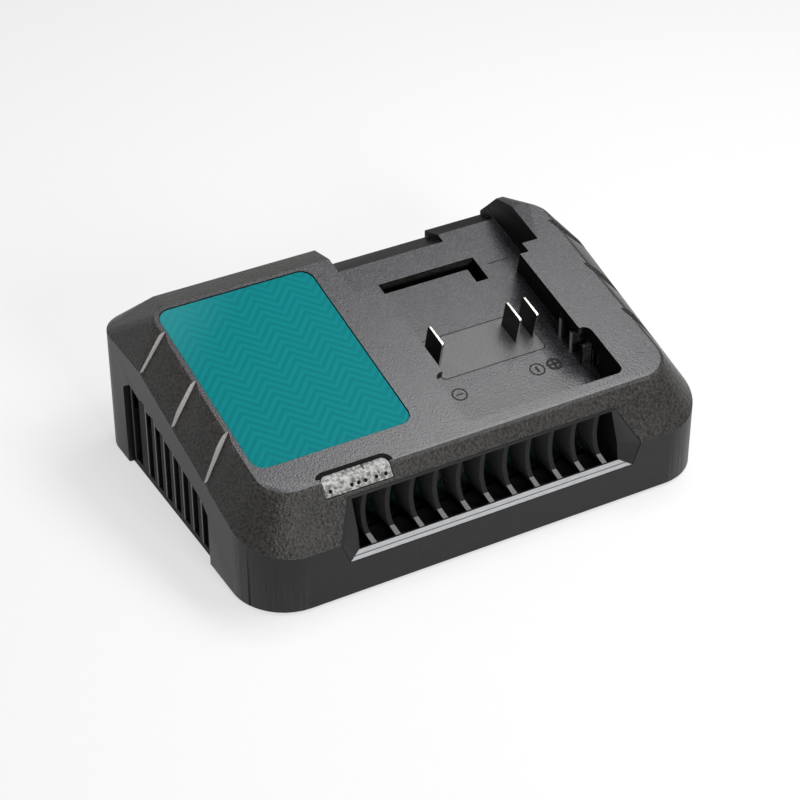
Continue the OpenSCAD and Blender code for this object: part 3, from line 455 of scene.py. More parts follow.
@dataclass(frozen=True)
class SolderedBoard(Finish):
    """Laminate with solder mask over copper tracks."""

    mask: Colour
    track: Colour
    spacing: float = 3.4 * MM

    def draw(self, graph: MaterialGraph) -> None:
        """Adds square cells whose borders are the tracks.

        Args:
            graph: Graph of the material.
        """
        settings = {"feature": "DISTANCE_TO_EDGE", "distance": "MANHATTAN"}
        cells = graph.add("ShaderNodeTexVoronoi", settings, Scale=1 / self.spacing)
        graph.feed(graph.place, cells.inputs["Vector"])
        edge = graph.remap(cells, 0.05, 0.09)
        graph.paint(graph.blend_colours(edge, self.track, self.mask))
        graph.bump(edge, 0.03 * MM, -0.6)
        graph.surface(Roughness=0.3, Coat_Weight=0.4, Coat_Roughness=0.15)


CHARCOAL = Colour(26, 26, 28)
SLATE = Colour(54, 54, 57)
SOOT = Colour(18, 18, 18)
NICKEL = Colour(214, 210, 202)


Finishes = dict[str, tuple[str, Finish]]


def smooth_by_angle(mesh: bpy.types.Mesh) -> None:
    """Shades a mesh smooth except at its sharp edges."""
    mesh.shade_smooth()
    mesh.set_sharp_from_angle(angle=SHARP_ANGLE)


def add_object(name: str, data: bpy.types.ID) -> Object:
    """Adds an object to the scene."""
    made = bpy.data.objects.new(name, data)
    bpy.context.scene.collection.objects.link(made)
    return made


def mesh_object(name: str, build: Callable[[BMesh], None]) -> Object:
    """Makes an object from a function that fills a bmesh.

    Args:
        name: Name of the object.
        build: Function that adds the geometry.

    Returns:
        The object, linked to the scene.
    """
    mesh = bpy.data.meshes.new(name)
    shape = bmesh.new()
    build(shape)
    bmesh.ops.recalc_face_normals(shape, faces=shape.faces[:])
    shape.to_mesh(mesh)
    shape.free()
    return add_object(name, mesh)


Place = tuple[float, float]
Loop = list[Place]


@dataclass(frozen=True)
class Surface:
    """A flat surface with two axes of its own, on which thin pieces are laid."""

    origin: Vector
    across: Vector
    along: Vector

    def point(self, place: Place, height: float) -> Vector:
        """A point of the surface's frame, at a height above it."""
        up = self.across.cross(self.along)
        return self.origin + self.across * place[0] + self.along * place[1] + up * height


def round_loop(centre: Place, radius: float, steps: int = 40) -> Loop:
    """Outline of a circle.

    Args:
        centre: Its middle on the surface.
        radius: Its radius.
        steps: Number of corners.

    Returns:
        The corners in order.
    """
    turns = [2 * math.pi * k / steps for k in range(steps)]
    return [(centre[0] + radius * math.cos(t), centre[1] + radius * math.sin(t)) for t in turns]


def bar_loop(centre: Place, half_across: float, half_along: float,
             corner: float | None = None) -> Loop:
    """Outline of a bar with rounded ends, or of a rectangle with rounded corners.

    Args:
        centre: Its middle on the surface.
        half_across: Half its size along the first axis.
        half_along: Half its size along the second axis.
        corner: Radius of the corners; as large as it can be if left out.

    Returns:
        The corners in order.
    """
    nose = min(half_across, half_along) if corner is None else corner
    loop = []
    for k in range(ROUND_STEPS):
        turn = 2 * math.pi * (k + 0.5) / ROUND_STEPS
        across, along = math.cos(turn), math.sin(turn)
        loop.append((centre[0] + math.copysign(half_across - nose, across) + nose * across,
                     centre[1] + math.copysign(half_along - nose, along) + nose * along))
    return loop


def add_plate(shape: BMesh, surface: Surface, outer: Loop, height: float,
              inner: Loop | None = None) -> None:
    """Adds a thin closed plate, or a closed band between two outlines.

    Args:
        shape: The bmesh to add to.
        surface: What the plate lies on.
        outer: Its outline.
        height: How far it stands above the surface.
        inner: Outline of the hole, with as many corners as the outer one.
    """
    loops = [outer] if inner is None else [outer, inner]
    low = [[shape.verts.new(surface.point(p, -PLATE_ROOT)) for p in loop] for loop in loops]
    high = [[shape.verts.new(surface.point(p, height)) for p in loop] for loop in loops]
    count = len(outer)
    for k in range(count):
        n = (k + 1) % count
        for lower, upper in zip(low, high):
            shape.faces.new((lower[k], lower[n], upper[n], upper[k]))
        if inner is not None:
            shape.faces.new((high[0][k], high[0][n], high[1][n], high[1][k]))
            shape.faces.new((low[0][k], low[0][n], low[1][n], low[1][k]))
    if inner is None:
        shape.faces.new(high[0])
        shape.faces.new(low[0])


def laid_piece(name: str, finish: Material, build: Callable[[BMesh], None]) -> None:
    """Makes a thin piece that rides on the housing.

    Args:
        name: Name of the piece.
        finish: Its material.
        build: Function that adds its plates.
    """
    piece = mesh_object(name, build)
    piece.data.materials.append(finish)
    smooth_by_angle(piece.data)
    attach(piece, ROOT_BODY)
    LOG.info("%s laid on the housing", name)


@dataclass
class FinishedPiece:
    """One CAD node as it is shown: either dressed as it is, or as a copy with rounded edges."""

    node: str
    slot: str
    body: str = ROOT_BODY

    def dress(self, finish: Material) -> None:
        """Gives the CAD node its finish.

        Args:
            finish: Material of the whole node.
        """
        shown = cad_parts[self.node]
        shown.data.materials.clear()
        shown.data.materials.append(finish)
        LOG.info("%s dressed in %s", self.node, finish.name)

    def rounded(self, radius: float, finish: Material) -> Object:
        """Shows a copy of the CAD node whose sharp edges are rounded.

        Args:
            radius: Width of the rounding.
            finish: Material of the whole piece.

        Returns:
            The copy, which replaces the CAD node.
        """
        copy = add_object(f"{self.node}_shown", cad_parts[self.node].data.copy())
        shape = bmesh.new()
        shape.from_mesh(copy.data)
        bmesh.ops.remove_doubles(shape, verts=shape.verts[:], dist=WELD_DISTANCE)
        bmesh.ops.dissolve_limit(shape, verts=shape.verts[:], edges=shape.edges[:],
                                 angle_limit=FLAT_ANGLE)
        shape.to_mesh(copy.data)
        shape.free()
        copy.data.materials.clear()
        copy.data.materials.append(finish)
        smooth_by_angle(copy.data)
        bevel = copy.modifiers.new("rounding", "BEVEL")
        bevel.width = radius
        bevel.segments = 2
        bevel.limit_method = "ANGLE"
        bevel.angle_limit = SHARP_ANGLE
        bevel.use_clamp_overlap = True
        bevel.harden_normals = True
        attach(copy, self.body)
        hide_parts(self.node)
        LOG.info("%s rounded by %.2f mm in %s", self.node, radius / MM, finish.name)
        return copy


def repaint_faces(piece: Object, finish: Material, chosen: Callable[[MeshPolygon], bool]) -> None:
    """Gives some faces of a piece a second finish.

    Args:
        piece: The piece.
        finish: Material of the chosen faces.
        chosen: Test that says whether a face takes the finish.
    """
    piece.data.materials.append(finish)
    faces = [face for face in piece.data.polygons if chosen(face)]
    for face in faces:
        face.material_index = len(piece.data.materials) - 1
    LOG.info("%s: %d faces in %s", piece.name, len(faces), finish.name)


def top_levels(left: float = -1.0, right: float = 1.0) -> list[float]:
    """Heights of the upper shell's large faces that lie parallel to the top plane.

    Args:
        left: Lowest X of a face's middle.
        right: Highest X of a face's middle.

    Returns:
        Distances from the origin along the plane's normal, highest first.
    """
    areas: dict[float, float] = {}
    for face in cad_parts["top_cover"].data.polygons:
        if (face.normal - TOP_NORMAL).length < 0.01 and left < face.center.x < right:
            level = round(face.center.dot(TOP_NORMAL), 4)
            areas[level] = areas.get(level, 0.0) + face.area
    return sorted((level for level, area in areas.items() if area > LEVEL_AREA), reverse=True)


def outer_side(node: str, normal: Vector) -> tuple[Vector, list[Vector]]:
    """Finds the outermost flat side of a CAD node.

    Args:
        node: Name of the node.
        normal: About the direction that the side looks in.

    Returns:
        The normal of the side's largest face, and the corners of all its faces.
    """
    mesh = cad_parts[node].data
    facing = [face for face in mesh.polygons if face.normal.dot(normal) > 0.99]
    level = max(face.center.dot(normal) for face in facing) - LEVEL_STEP
    side = [face for face in facing if face.center.dot(normal) > level]
    corners = [mesh.vertices[index].co for face in side for index in face.vertices]
    return max(side, key=lambda face: face.area).normal, corners


@dataclass
class Housing:
    """Upper and lower shell: textured bands, a smoother top plane partly lit by a painted sheen, painted
    highlights on the shingle steps, edges, ribs and vent beads, and painted shade in the bay and the vent
    panels.
    """

    edge: float = 0.35 * MM
    tolerance: float = 0.02
    flank: float = 79 * MM
    bay_sides: float = 18 * MM
    slope_sides: float = 16 * MM
    bay_front: float = 33 * MM
    entry: float = 12 * MM
    rib_near: float = 2 * MM
    rib_far: float = 16 * MM
    rib_reach: float = 30 * MM
    rib_area: float = 44 * MM * MM
    panel: float = 88 * MM
    panel_depth: float = 2 * MM
    vent_reach: float = 45 * MM
    bead_width: float = 0.9 * MM
    bead_height: float = 0.25 * MM
    band: Finish = MouldedPlastic(
        Colour(32, 31, 30), grain=0.95 * MM, depth=0.4 * MM, roughness=0.34, mottling=0.95, specular=0.22)
    # Top plane: smoother and finer in grain than the bands; its colour, lighter than the bands', is
    # partly a painted sheen.
    plane: Finish = MouldedPlastic(
        SLATE, grain=0.65 * MM, depth=0.1 * MM, roughness=0.25, mottling=0.34)
    base: Finish = MouldedPlastic(
        CHARCOAL, grain=0.6 * MM, depth=0.14 * MM, roughness=0.42, mottling=0.3, specular=0.28)
    # Shingle steps: a light colour that paints the highlight on the steps' forward faces.
    step: Finish = MouldedPlastic(
        Colour(150, 148, 146), depth=0.02 * MM, roughness=0.34, mottling=0.1, specular=0.8)
    # Roundings of the upper shell's edges: a light colour that paints the highlight along them.
    brink: Finish = MouldedPlastic(
        Colour(132, 132, 134), depth=0.02 * MM, roughness=0.3, mottling=0.15, specular=0.8)
    # Near black that paints shade over the sunk vent panels, the bars between the slits included.
    vent: Finish = MouldedPlastic(
        Colour(13, 13, 14), grain=0.6 * MM, depth=0.06 * MM, mottling=0.3, specular=0.08)
    # Beads: real relief, lighter than the shell as a painted highlight on the slits' edges.
    bead: Finish = MouldedPlastic(Colour(66, 66, 68), depth=0.04 * MM, roughness=0.4, mottling=0.2)
    # Near black that paints the shade on the bay's right walls and on the slopes at its rear entry.
    shade: Finish = MouldedPlastic(
        Colour(8, 8, 8), grain=0.6 * MM, depth=0.04 * MM, mottling=0.3, specular=0.05)
    # Light colour that paints the highlight on the inner edges of the bay's ribs.
    rib: Finish = MouldedPlastic(Colour(150, 149, 150), roughness=0.36, mottling=0.1)

    def build(self) -> None:
        """Builds both shells and the beads beside the vents' slits."""
        band = self.band.material("upper_band")
        upper = FinishedPiece("top_cover", "upper_shell").rounded(self.edge, band)
        for name, finish, chosen in (
                ("upper_plane_painted_sheen", self.plane, self.parallel_to_plane),
                ("shingle_step", self.step, self.steps_forward),
                ("bay_wall_painted_shade", self.shade, self.inside_bay),
                ("bay_rib_edge_painted_highlight", self.rib, self.edges_of_ribs)):
            repaint_faces(upper, finish.material(name), chosen)
        # The roundings take the painted edge highlight.
        upper.data.materials.append(self.brink.material("upper_edge_painted_highlight"))
        upper.modifiers["rounding"].material = len(upper.data.materials) - 1
        base = self.base.material("lower_shell")
        lower = FinishedPiece("base_cover", "lower_shell").rounded(self.edge, base)
        repaint_faces(lower, self.vent.material("vent_panel_painted_shade"), self.in_vent_panel)
        laid_piece("vent_beads", self.bead.material("vent_bead_painted_highlight"), self.add_beads)

    def in_vent_panel(self, face: MeshPolygon) -> bool:
        """Tells whether a face is the sunk panel that the vent slits pass through, which takes painted
        shade.
        """
        return abs(abs(face.center.x) - self.panel) < 0.3 * MM and abs(face.normal.x) > FACING

    def add_beads(self, shape: BMesh) -> None:
        """Adds a fine bead, lighter as a painted highlight, along one upright edge of every vent slit, on
        both sides.

        Args:
            shape: The bmesh to add to.
        """
        edges: dict[tuple[int, float], list[float]] = {}
        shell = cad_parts["base_cover"].data
        for face in shell.polygons:
            beside = self.panel - self.panel_depth < abs(face.center.x) < self.panel
            if beside and face.normal.y < -FACING and abs(face.center.y) < self.vent_reach:
                side = 1 if face.center.x > 0 else -1
                heights = [shell.vertices[i].co.z for i in face.vertices]
                edges.setdefault((side, round(face.center.y, 4)), []).extend(heights)
        for (side, edge), heights in edges.items():
            low, high = min(heights), max(heights)
            middle = Vector((side * self.panel, edge + self.bead_width / 2, (low + high) / 2))
            panel = Surface(middle, Vector((0, side, 0)), Vector((0, 0, 1)))
            bead = bar_loop((0.0, 0.0), self.bead_width / 2, (high - low) / 2)
            add_plate(shape, panel, bead, self.bead_height)

    def parallel_to_plane(self, face: MeshPolygon) -> bool:
        """Tells whether a face lies parallel to the top plane."""
        return (face.normal - TOP_NORMAL).length < self.tolerance

    def steps_forward(self, face: MeshPolygon) -> bool:
        """Tells whether a face is the front step of a shingle on the left flank, painted light as a
        highlight.
        """
        return face.center.x < -self.flank and face.normal.y < -FACING and face.normal.z > 0.15

    def inside_bay(self, face: MeshPolygon) -> bool:
        """Tells whether a face is an upright wall or a slope inside the battery bay, which takes painted
        shade.

        Args:
            face: Face of the upper shell.

        Returns:
            True for the bay's right walls and for the slopes at its rear entry.
        """
        low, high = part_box("terminal_block")
        aside = face.center.x - (high.x + low.x) / 2
        beyond = abs(aside) - (high.x - low.x) / 2
        wall = face.normal.x < -0.3 and aside > 0
        sloping = face.normal.z > 0.2 and not self.parallel_to_plane(face)
        slope = face.center.y > high.y + self.entry and sloping and beyond < self.slope_sides
        return beyond < self.bay_sides and face.center.y > low.y - self.bay_front and (wall or slope)

    def edges_of_ribs(self, face: MeshPolygon) -> bool:
        """Tells whether a face is the narrow inner edge of a rib on the bay's right wall, painted light
        as a highlight.

        Args:
            face: Face of the upper shell.

        Returns:
            True for a small upright face that looks left, beside the terminal block.
        """
        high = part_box("terminal_block")[1]
        beside = self.rib_near < face.center.x - high.x < self.rib_far
        near = beside and abs(face.center.y - high.y) < self.rib_reach
        return near and face.normal.x < -0.95 and face.area < self.rib_area


@dataclass
class LabelPanel:
    """Teal film in the recess on the left of the top plane."""

    edge: float = 0.2 * MM
    # The third colour is the painted sheen at the film's rear left corner.
    film: Finish = LabelFilm(Colour(12, 127, 131), Colour(8, 112, 117), Colour(70, 156, 160))

    def build(self) -> None:
        """Builds the label."""
        FinishedPiece("label_plate", "label_face").rounded(self.edge, self.film.material("label_film"))


@dataclass
class Louvre:
    """Front air outlet: sloping ledge painted bright as a highlight, flat crest, and dark bowed fins with
    painted shade on their fronts, painted light on their sides and painted highlights on their feet.
    """

    edge: float = 0.15 * MM
    fin_reach: float = 51 * MM
    foot_area: float = 40 * MM * MM
    body: Finish = MouldedPlastic(Colour(26, 26, 27), depth=0.04 * MM, roughness=0.45, specular=0.25)
    # Darker than the body: painted shade on the fins' front edges.
    front: Finish = MouldedPlastic(Colour(20, 20, 21), grain=0.4 * MM, roughness=0.45, specular=0.2)
    # Lighter than the body: painted light on the fins' sides.
    flank: Finish = MouldedPlastic(Colour(70, 70, 72), roughness=0.4)
    # Ledge: a light satin that paints the highlight on the dark plastic of the ledge.
    ledge: Finish = StreakedSatin(Colour(160, 161, 163), roughness=0.34)
    # Lighter than the body: painted highlights on the fins' feet.
    foot: Finish = MouldedPlastic(Colour(92, 92, 94), roughness=0.4)

    def build(self) -> None:
        """Builds the louvre with its fins and its ledge."""
        body = self.body.material("louvre_body")
        shown = FinishedPiece("front_grille", "louvre").rounded(self.edge, body)
        for name, finish, chosen in (
                ("fin_front_painted_shade", self.front, self.fronts_of_fins),
                ("fin_flank_painted_light", self.flank, self.flanks_of_fins),
                ("louvre_ledge_painted_highlight", self.ledge, self.slopes_forward),
                ("fin_foot", self.foot, self.feet_of_fins)):
            repaint_faces(shown, finish.material(name), chosen)

    def fronts_of_fins(self, face: MeshPolygon) -> bool:
        """Tells whether a face is part of a fin's bowed front edge, which takes painted shade."""
        return abs(face.center.x) < self.fin_reach and abs(face.normal.x) < 0.3 and face.normal.y < -0.3

    def flanks_of_fins(self, face: MeshPolygon) -> bool:
        """Tells whether a face is the side of a fin, painted lighter as lit."""
        return abs(face.center.x) < self.fin_reach and abs(face.normal.x) > FACING

    def slopes_forward(self, face: MeshPolygon) -> bool:
        """Tells whether a face belongs to the sloping ledge or to the foot of a fin."""
        return (face.normal - LEDGE_NORMAL).length < 0.1

    def feet_of_fins(self, face: MeshPolygon) -> bool:
        """Tells whether a face is a small slope: the foot of a fin, or the groove along the ledge; these
        take a painted highlight.
        """
        return self.slopes_forward(face) and face.area < self.foot_area


@dataclass
class Contacts:
    """Terminal block, contact blades, polarity marks and the seams of the bay floor."""

    edge: float = 0.12 * MM
    mark_gap: float = 7.0 * MM
    mark_radius: float = 3.0 * MM
    mark_line: float = 0.32 * MM
    mark_height: float = 0.06 * MM
    seam_width: float = 0.3 * MM
    block_corner: float = 1.2 * MM
    block_seam_height: float = 0.03 * MM
    rear_seam_height: float = 0.02 * MM
    rear_seam_place: float = 47.6 * MM
    rear_seam_start: float = 0.3 * MM
    rear_seam_length: float = 10.2 * MM
    block: Finish = MouldedPlastic(
        Colour(80, 79, 81), grain=0.65 * MM, depth=0.12 * MM, roughness=0.36, mottling=0.2)
    metal: Finish = PlatedMetal(NICKEL, Direction.ALONG_Y, roughness=0.22)
    # Darker metal: painted shade on the blades' broad side faces.
    cheek: Finish = PlatedMetal(Colour(58, 56, 54), Direction.ALONG_Y, roughness=0.34)
    ink: Finish = MouldedPlastic(SOOT, grain=0.4 * MM, depth=0.01 * MM, specular=0.2)

    def build(self) -> None:
        """Builds the block, the blades, the marks and the seams."""
        block = self.block.material("terminal_block")
        FinishedPiece("terminal_block", "block").rounded(self.edge, block)
        metal = self.metal.material("contact_metal")
        cheek = self.cheek.material("contact_painted_shade")
        for blade in ("blade_negative", "blade_data", "blade_positive"):
            shown = FinishedPiece(blade, "contact_metal").rounded(self.edge, metal)
            # Broad side faces of the blades take the painted shade.
            repaint_faces(shown, cheek, lambda face: abs(face.normal.x) > FACING)
        floor = self.bay_floor()
        ink = self.ink.material("mark_ink")
        laid_piece("polarity_marks", ink, lambda shape: self.add_marks(shape, floor))
        laid_piece("bay_seam", ink, lambda shape: self.add_seams(shape, floor))

    def bay_floor(self) -> Surface:
        """The bay floor, with its origin in the middle of the block's front edge.

        Returns:
            A surface whose first axis is +X and whose second axis runs up the slope to the back.
        """
        low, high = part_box("terminal_block")
        level = top_levels(low.x, high.x)[1]
        front = Vector(((low.x + high.x) / 2, low.y, 0))
        front.z = (level - front.dot(TOP_NORMAL)) / TOP_NORMAL.z
        return Surface(front, Vector((1, 0, 0)), Vector((0, math.cos(TOP_TILT), math.sin(TOP_TILT))))

    def add_marks(self, shape: BMesh, floor: Surface) -> None:
        """Adds a ring with a minus, a ring with a small bar and a bold ring with a plus.

        Args:
            shape: The bmesh to add to.
            floor: Surface of the bay floor.
        """
        radius, line = self.mark_radius, self.mark_line
        fine, bold = radius - 2 * line, radius * 0.62
        half, arm, thick = radius * 0.5, radius * 0.7, line * 1.5
        signs = {"blade_negative": (fine, [(half, line)]), "blade_data": (fine, [(line * 1.6, half)]),
                 "blade_positive": (bold, [(arm, thick), (thick, arm)])}
        for blade, (hole, bars) in signs.items():
            low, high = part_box(blade)
            centre = ((low.x + high.x) / 2 - floor.origin.x, -self.mark_gap)
            ring, hollow = round_loop(centre, radius), round_loop(centre, hole)
            add_plate(shape, floor, ring, self.mark_height, hollow)
            for size in bars:
                add_plate(shape, floor, bar_loop(centre, *size), self.mark_height)

    def add_seams(self, shape: BMesh, floor: Surface) -> None:
        """Adds the seam round the block and the one from the air slot to the bay's right wall.

        Args:
            shape: The bmesh to add to.
            floor: Surface of the bay floor.
        """
        places = [corner - floor.origin for corner in outer_side("terminal_block", TOP_NORMAL)[1]]
        across, along = [p.x for p in places], [p.dot(floor.along) for p in places]
        centre = ((min(across) + max(across)) / 2, (min(along) + max(along)) / 2)
        half_across, half_along = (max(across) - min(across)) / 2, (max(along) - min(along)) / 2
        outer, inner = (bar_loop(centre, half_across + w, half_along + w, self.block_corner + w)
                        for w in (self.seam_width, -self.seam_width / 2))
        add_plate(shape, floor, outer, self.block_seam_height, inner)
        start = self.rear_seam_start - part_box("terminal_block")[0].x + floor.origin.x
        half = self.rear_seam_length / 2
        rear = bar_loop((start + half, self.rear_seam_place), half, self.seam_width)
        add_plate(shape, floor, rear, self.rear_seam_height)


@dataclass
class Indicator:
    """Window with its frosted lens, a dark strip of painted shadow round it and light ends, over the
    indicator board.
    """

    edge: float = 0.2 * MM
    # Width of the dark strip that paints the shadow round the window's rear and sides.
    border: float = 1.5 * MM
    reach: float = 2.6 * MM
    corner: float = 2.2 * MM
    corner_steps: int = 8
    rim: float = 1.2 * MM
    stroke: float = 0.22 * MM
    dot: float = 0.7 * MM
    dot_rise: float = 1.9 * MM
    dot_places: tuple[float, ...] = (0.09, 0.4, 0.5, 0.6, 0.76, 0.9)
    divider: float = 0.63
    ink_height: float = 0.03 * MM
    painted_shadow_height: float = 0.04 * MM
    lens: Finish = FrostedClear(Colour(186, 186, 184), clearness=0.25, haze=0.45)
    ink: Finish = MouldedPlastic(Colour(9, 9, 9), grain=0.3 * MM, depth=0.01 * MM, specular=0.05)
    board: Finish = SolderedBoard(Colour(30, 92, 52), Colour(62, 132, 84))
    epoxy: Finish = FrostedClear(Colour(236, 236, 226))

    def build(self) -> None:
        """Builds the lens with its marks and the painted shadow round it, the board and the lights."""
        FinishedPiece("indicator_lens", "lens").rounded(self.edge, self.lens.material("indicator_lens"))
        FinishedPiece("led_board", "laminate").dress(self.board.material("led_board"))
        FinishedPiece("indicator_leds", "led_epoxy").dress(self.epoxy.material("led_epoxy"))
        # One dark ink for the printed marks and for the painted shadow round the window.
        ink = self.ink.material("window_ink_and_painted_shadow")
        laid_piece("window_marks", ink, self.add_marks)
        laid_piece("window_painted_shadow", ink, self.add_painted_shadow)

    def lens_face(self, normal: Vector) -> Surface:
        """Finds a flat face of the lens.

        Args:
            normal: About the direction that the face looks in.

        Returns:
            The face's surface, with its origin in the middle of its lower edge.
        """
        exact, corners = outer_side("indicator_lens", normal)
        across = Vector((1, 0, 0))
        along = exact.cross(across)
        lowest = min(corners, key=lambda corner: corner.dot(along))
        middle = (min(c.x for c in corners) + max(c.x for c in corners)) / 2
        return Surface(Vector((middle, lowest.y, lowest.z)), across, along)

    def window_width(self) -> float:
        """Width of the opening that the lens fills, without the lens's hidden rim."""
        low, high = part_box("indicator_lens")
        return high.x - low.x - 2 * self.rim

    def add_marks(self, shape: BMesh) -> None:
        """Adds the divider and the light ends.

        Args:
            shape: The bmesh to add to.
        """
        width, half = self.window_width(), self.reach / 2
        divider = bar_loop(((self.divider - 0.5) * width, half), self.stroke, half)
        add_plate(shape, self.lens_face(TOP_NORMAL), divider, self.ink_height)
        front = self.lens_face(BAND_NORMAL)
        for share in self.dot_places:
            dot = round_loop(((share - 0.5) * width, self.dot_rise), self.dot, DOT_STEPS)
            add_plate(shape, front, dot, self.ink_height)

    def add_painted_shadow(self, shape: BMesh) -> None:
        """Adds a dark strip of painted shadow on the top plane, along the window's rear edge and down its
        right side.

        Args:
            shape: The bmesh to add to.
        """
        lens = self.lens_face(TOP_NORMAL)
        drop = top_levels()[0] - lens.origin.dot(TOP_NORMAL)
        plane = Surface(lens.origin + TOP_NORMAL * drop, lens.across, lens.along)
        half = self.window_width() / 2
        turns = [math.pi / 2 * k / self.corner_steps for k in range(self.corner_steps + 1)]

        def rail(spread: float) -> Loop:
            """One edge of the painted shadow strip, from its left end over the rear to its right end.

            Args:
                spread: Distance from the window's own edge.

            Returns:
                The corners in order.
            """
            side, rear, bend = half + spread, self.reach + spread, self.corner + spread
            left = [(-side + bend - bend * math.cos(t), rear - bend + bend * math.sin(t)) for t in turns]
            return [*left[2:], *((-x, y) for x, y in reversed(left)), (side, 0.0)]

        add_plate(shape, plane, rail(self.border) + rail(0.0)[::-1], self.painted_shadow_height)


class DressedAssembly:
    """Sub-assembly whose pieces are shown as the CAD has them, each with its own finish."""

    def finishes(self) -> Finishes:
        """Names each piece with its material slot and its finish."""
        return {}

    def build(self) -> None:
        """Dresses each piece."""
        for node, (slot, finish) in self.finishes().items():
            FinishedPiece(node, slot).dress(finish.material(f"{node}_finish"))


@dataclass
class Supply(DressedAssembly):
    """The switched supply: its board and the devices on it."""

    epoxy: Finish = MouldedPlastic(Colour(32, 32, 34), grain=0.25 * MM, roughness=0.55)
    sleeve: Finish = MouldedPlastic(
        Colour(28, 44, 84), grain=1.2 * MM, depth=0.01 * MM, roughness=0.3, coat=0.4)
    metal: Finish = PlatedMetal(Colour(196, 198, 200), Direction.ALONG_Y, roughness=0.36)
    epoxy_cases: tuple[str, ...] = (
        "bridge_rectifier", "power_transistor", "output_rectifier", "control_chip")
    tape_pitch: float = 1.1 * MM
    wire_pitch: float = 0.9 * MM

    def finishes(self) -> Finishes:
        """Names each device with its material slot and its finish.

        Returns:
            Slot and finish by CAD node.
        """
        return {
            "circuit_board": ("laminate", SolderedBoard(Colour(14, 36, 24), Colour(30, 62, 42))),
            "fuse": ("fuse_glass", MouldedPlastic(
                Colour(214, 206, 190), grain=0.8 * MM, roughness=0.25, coat=0.5)),
            "x_capacitor": (
                "film_case", MouldedPlastic(Colour(196, 160, 52), grain=0.9 * MM, roughness=0.4)),
            "line_choke": (
                "choke_copper", WoundWire(Colour(176, 98, 48), Colour(70, 34, 18), self.wire_pitch, "Y")),
            "bulk_capacitor": ("sleeve", self.sleeve),
            "transformer_core": (
                "ferrite", MouldedPlastic(Colour(52, 52, 56), grain=0.4 * MM, roughness=0.6)),
            "transformer_bobbin": (
                "bobbin", MouldedPlastic(Colour(36, 36, 36), grain=0.4 * MM, roughness=0.4)),
            "transformer_winding": ("winding", WoundWire(
                Colour(214, 178, 60), Colour(150, 112, 30), self.tape_pitch, "Z", 0.0)),
            "primary_heat_sink": ("sink_metal", self.metal),
            "secondary_heat_sink": ("sink_metal", self.metal),
            "output_capacitors": ("sleeve", self.sleeve),
            "terminal_wires": (
                "wire_sleeve", MouldedPlastic(Colour(170, 36, 34), grain=0.8 * MM, roughness=0.4)),
            **{node: ("device_case", self.epoxy) for node in self.epoxy_cases},
        }


@dataclass
class PowerInlet(DressedAssembly):
    """Socket of the mains lead in the back wall."""

    moulding: Finish = MouldedPlastic(Colour(26, 26, 27), roughness=0.4)
    pin: Finish = PlatedMetal(NICKEL, Direction.ALONG_Y, roughness=0.2)

    def finishes(self) -> Finishes:
        """Names the socket and its pins with their finishes."""
        return {"inlet_socket": ("inlet_body", self.moulding), "inlet_pins": ("pin_metal", self.pin)}


@dataclass
class CoolingFan(DressedAssembly):
    """Standing parts of the fan behind the left vents."""

    moulding: Finish = MouldedPlastic(Colour(30, 30, 32), roughness=0.42)
    wire_pitch: float = 0.5 * MM

    def finishes(self) -> Finishes:
        """Names the frame, the stator and the bearing with their finishes.

        Returns:
            Slot and finish by CAD node.
        """
        return {
            "fan_frame": ("fan_plastic", self.moulding),
            "fan_stator": ("stator_copper", WoundWire(
                Colour(184, 104, 52), Colour(64, 30, 16), self.wire_pitch, "X")),
            "fan_bearing": (
                "bearing_bronze", PlatedMetal(Colour(186, 150, 92), Direction.ALONG_X, roughness=0.4)),
        }


@dataclass
class FanRotor(DressedAssembly):
    """Turning parts of the fan."""

    moulding: Finish = MouldedPlastic(Colour(34, 34, 36), roughness=0.36)
    steel: Finish = PlatedMetal(Colour(200, 200, 202), Direction.ALONG_X, roughness=0.2)

    def finishes(self) -> Finishes:
        """Names the impeller and its shaft with their finishes."""
        return {"fan_impeller": ("fan_plastic", self.moulding), "fan_shaft": ("shaft_steel", self.steel)}


@dataclass
class Fixings(DressedAssembly):
    """Screws and feet."""

    steel: Finish = PlatedMetal(Colour(188, 188, 186), roughness=0.32)
    rubber: Finish = MouldedPlastic(Colour(24, 24, 24), grain=0.4 * MM, roughness=0.8)

    def finishes(self) -> Finishes:
        """Names the screws and the feet with their finishes."""
        return {
            "board_screws": ("screw_steel", self.steel),
            "housing_screws": ("screw_steel", self.steel),
            "rubber_feet": ("foot_rubber", self.rubber),
        }


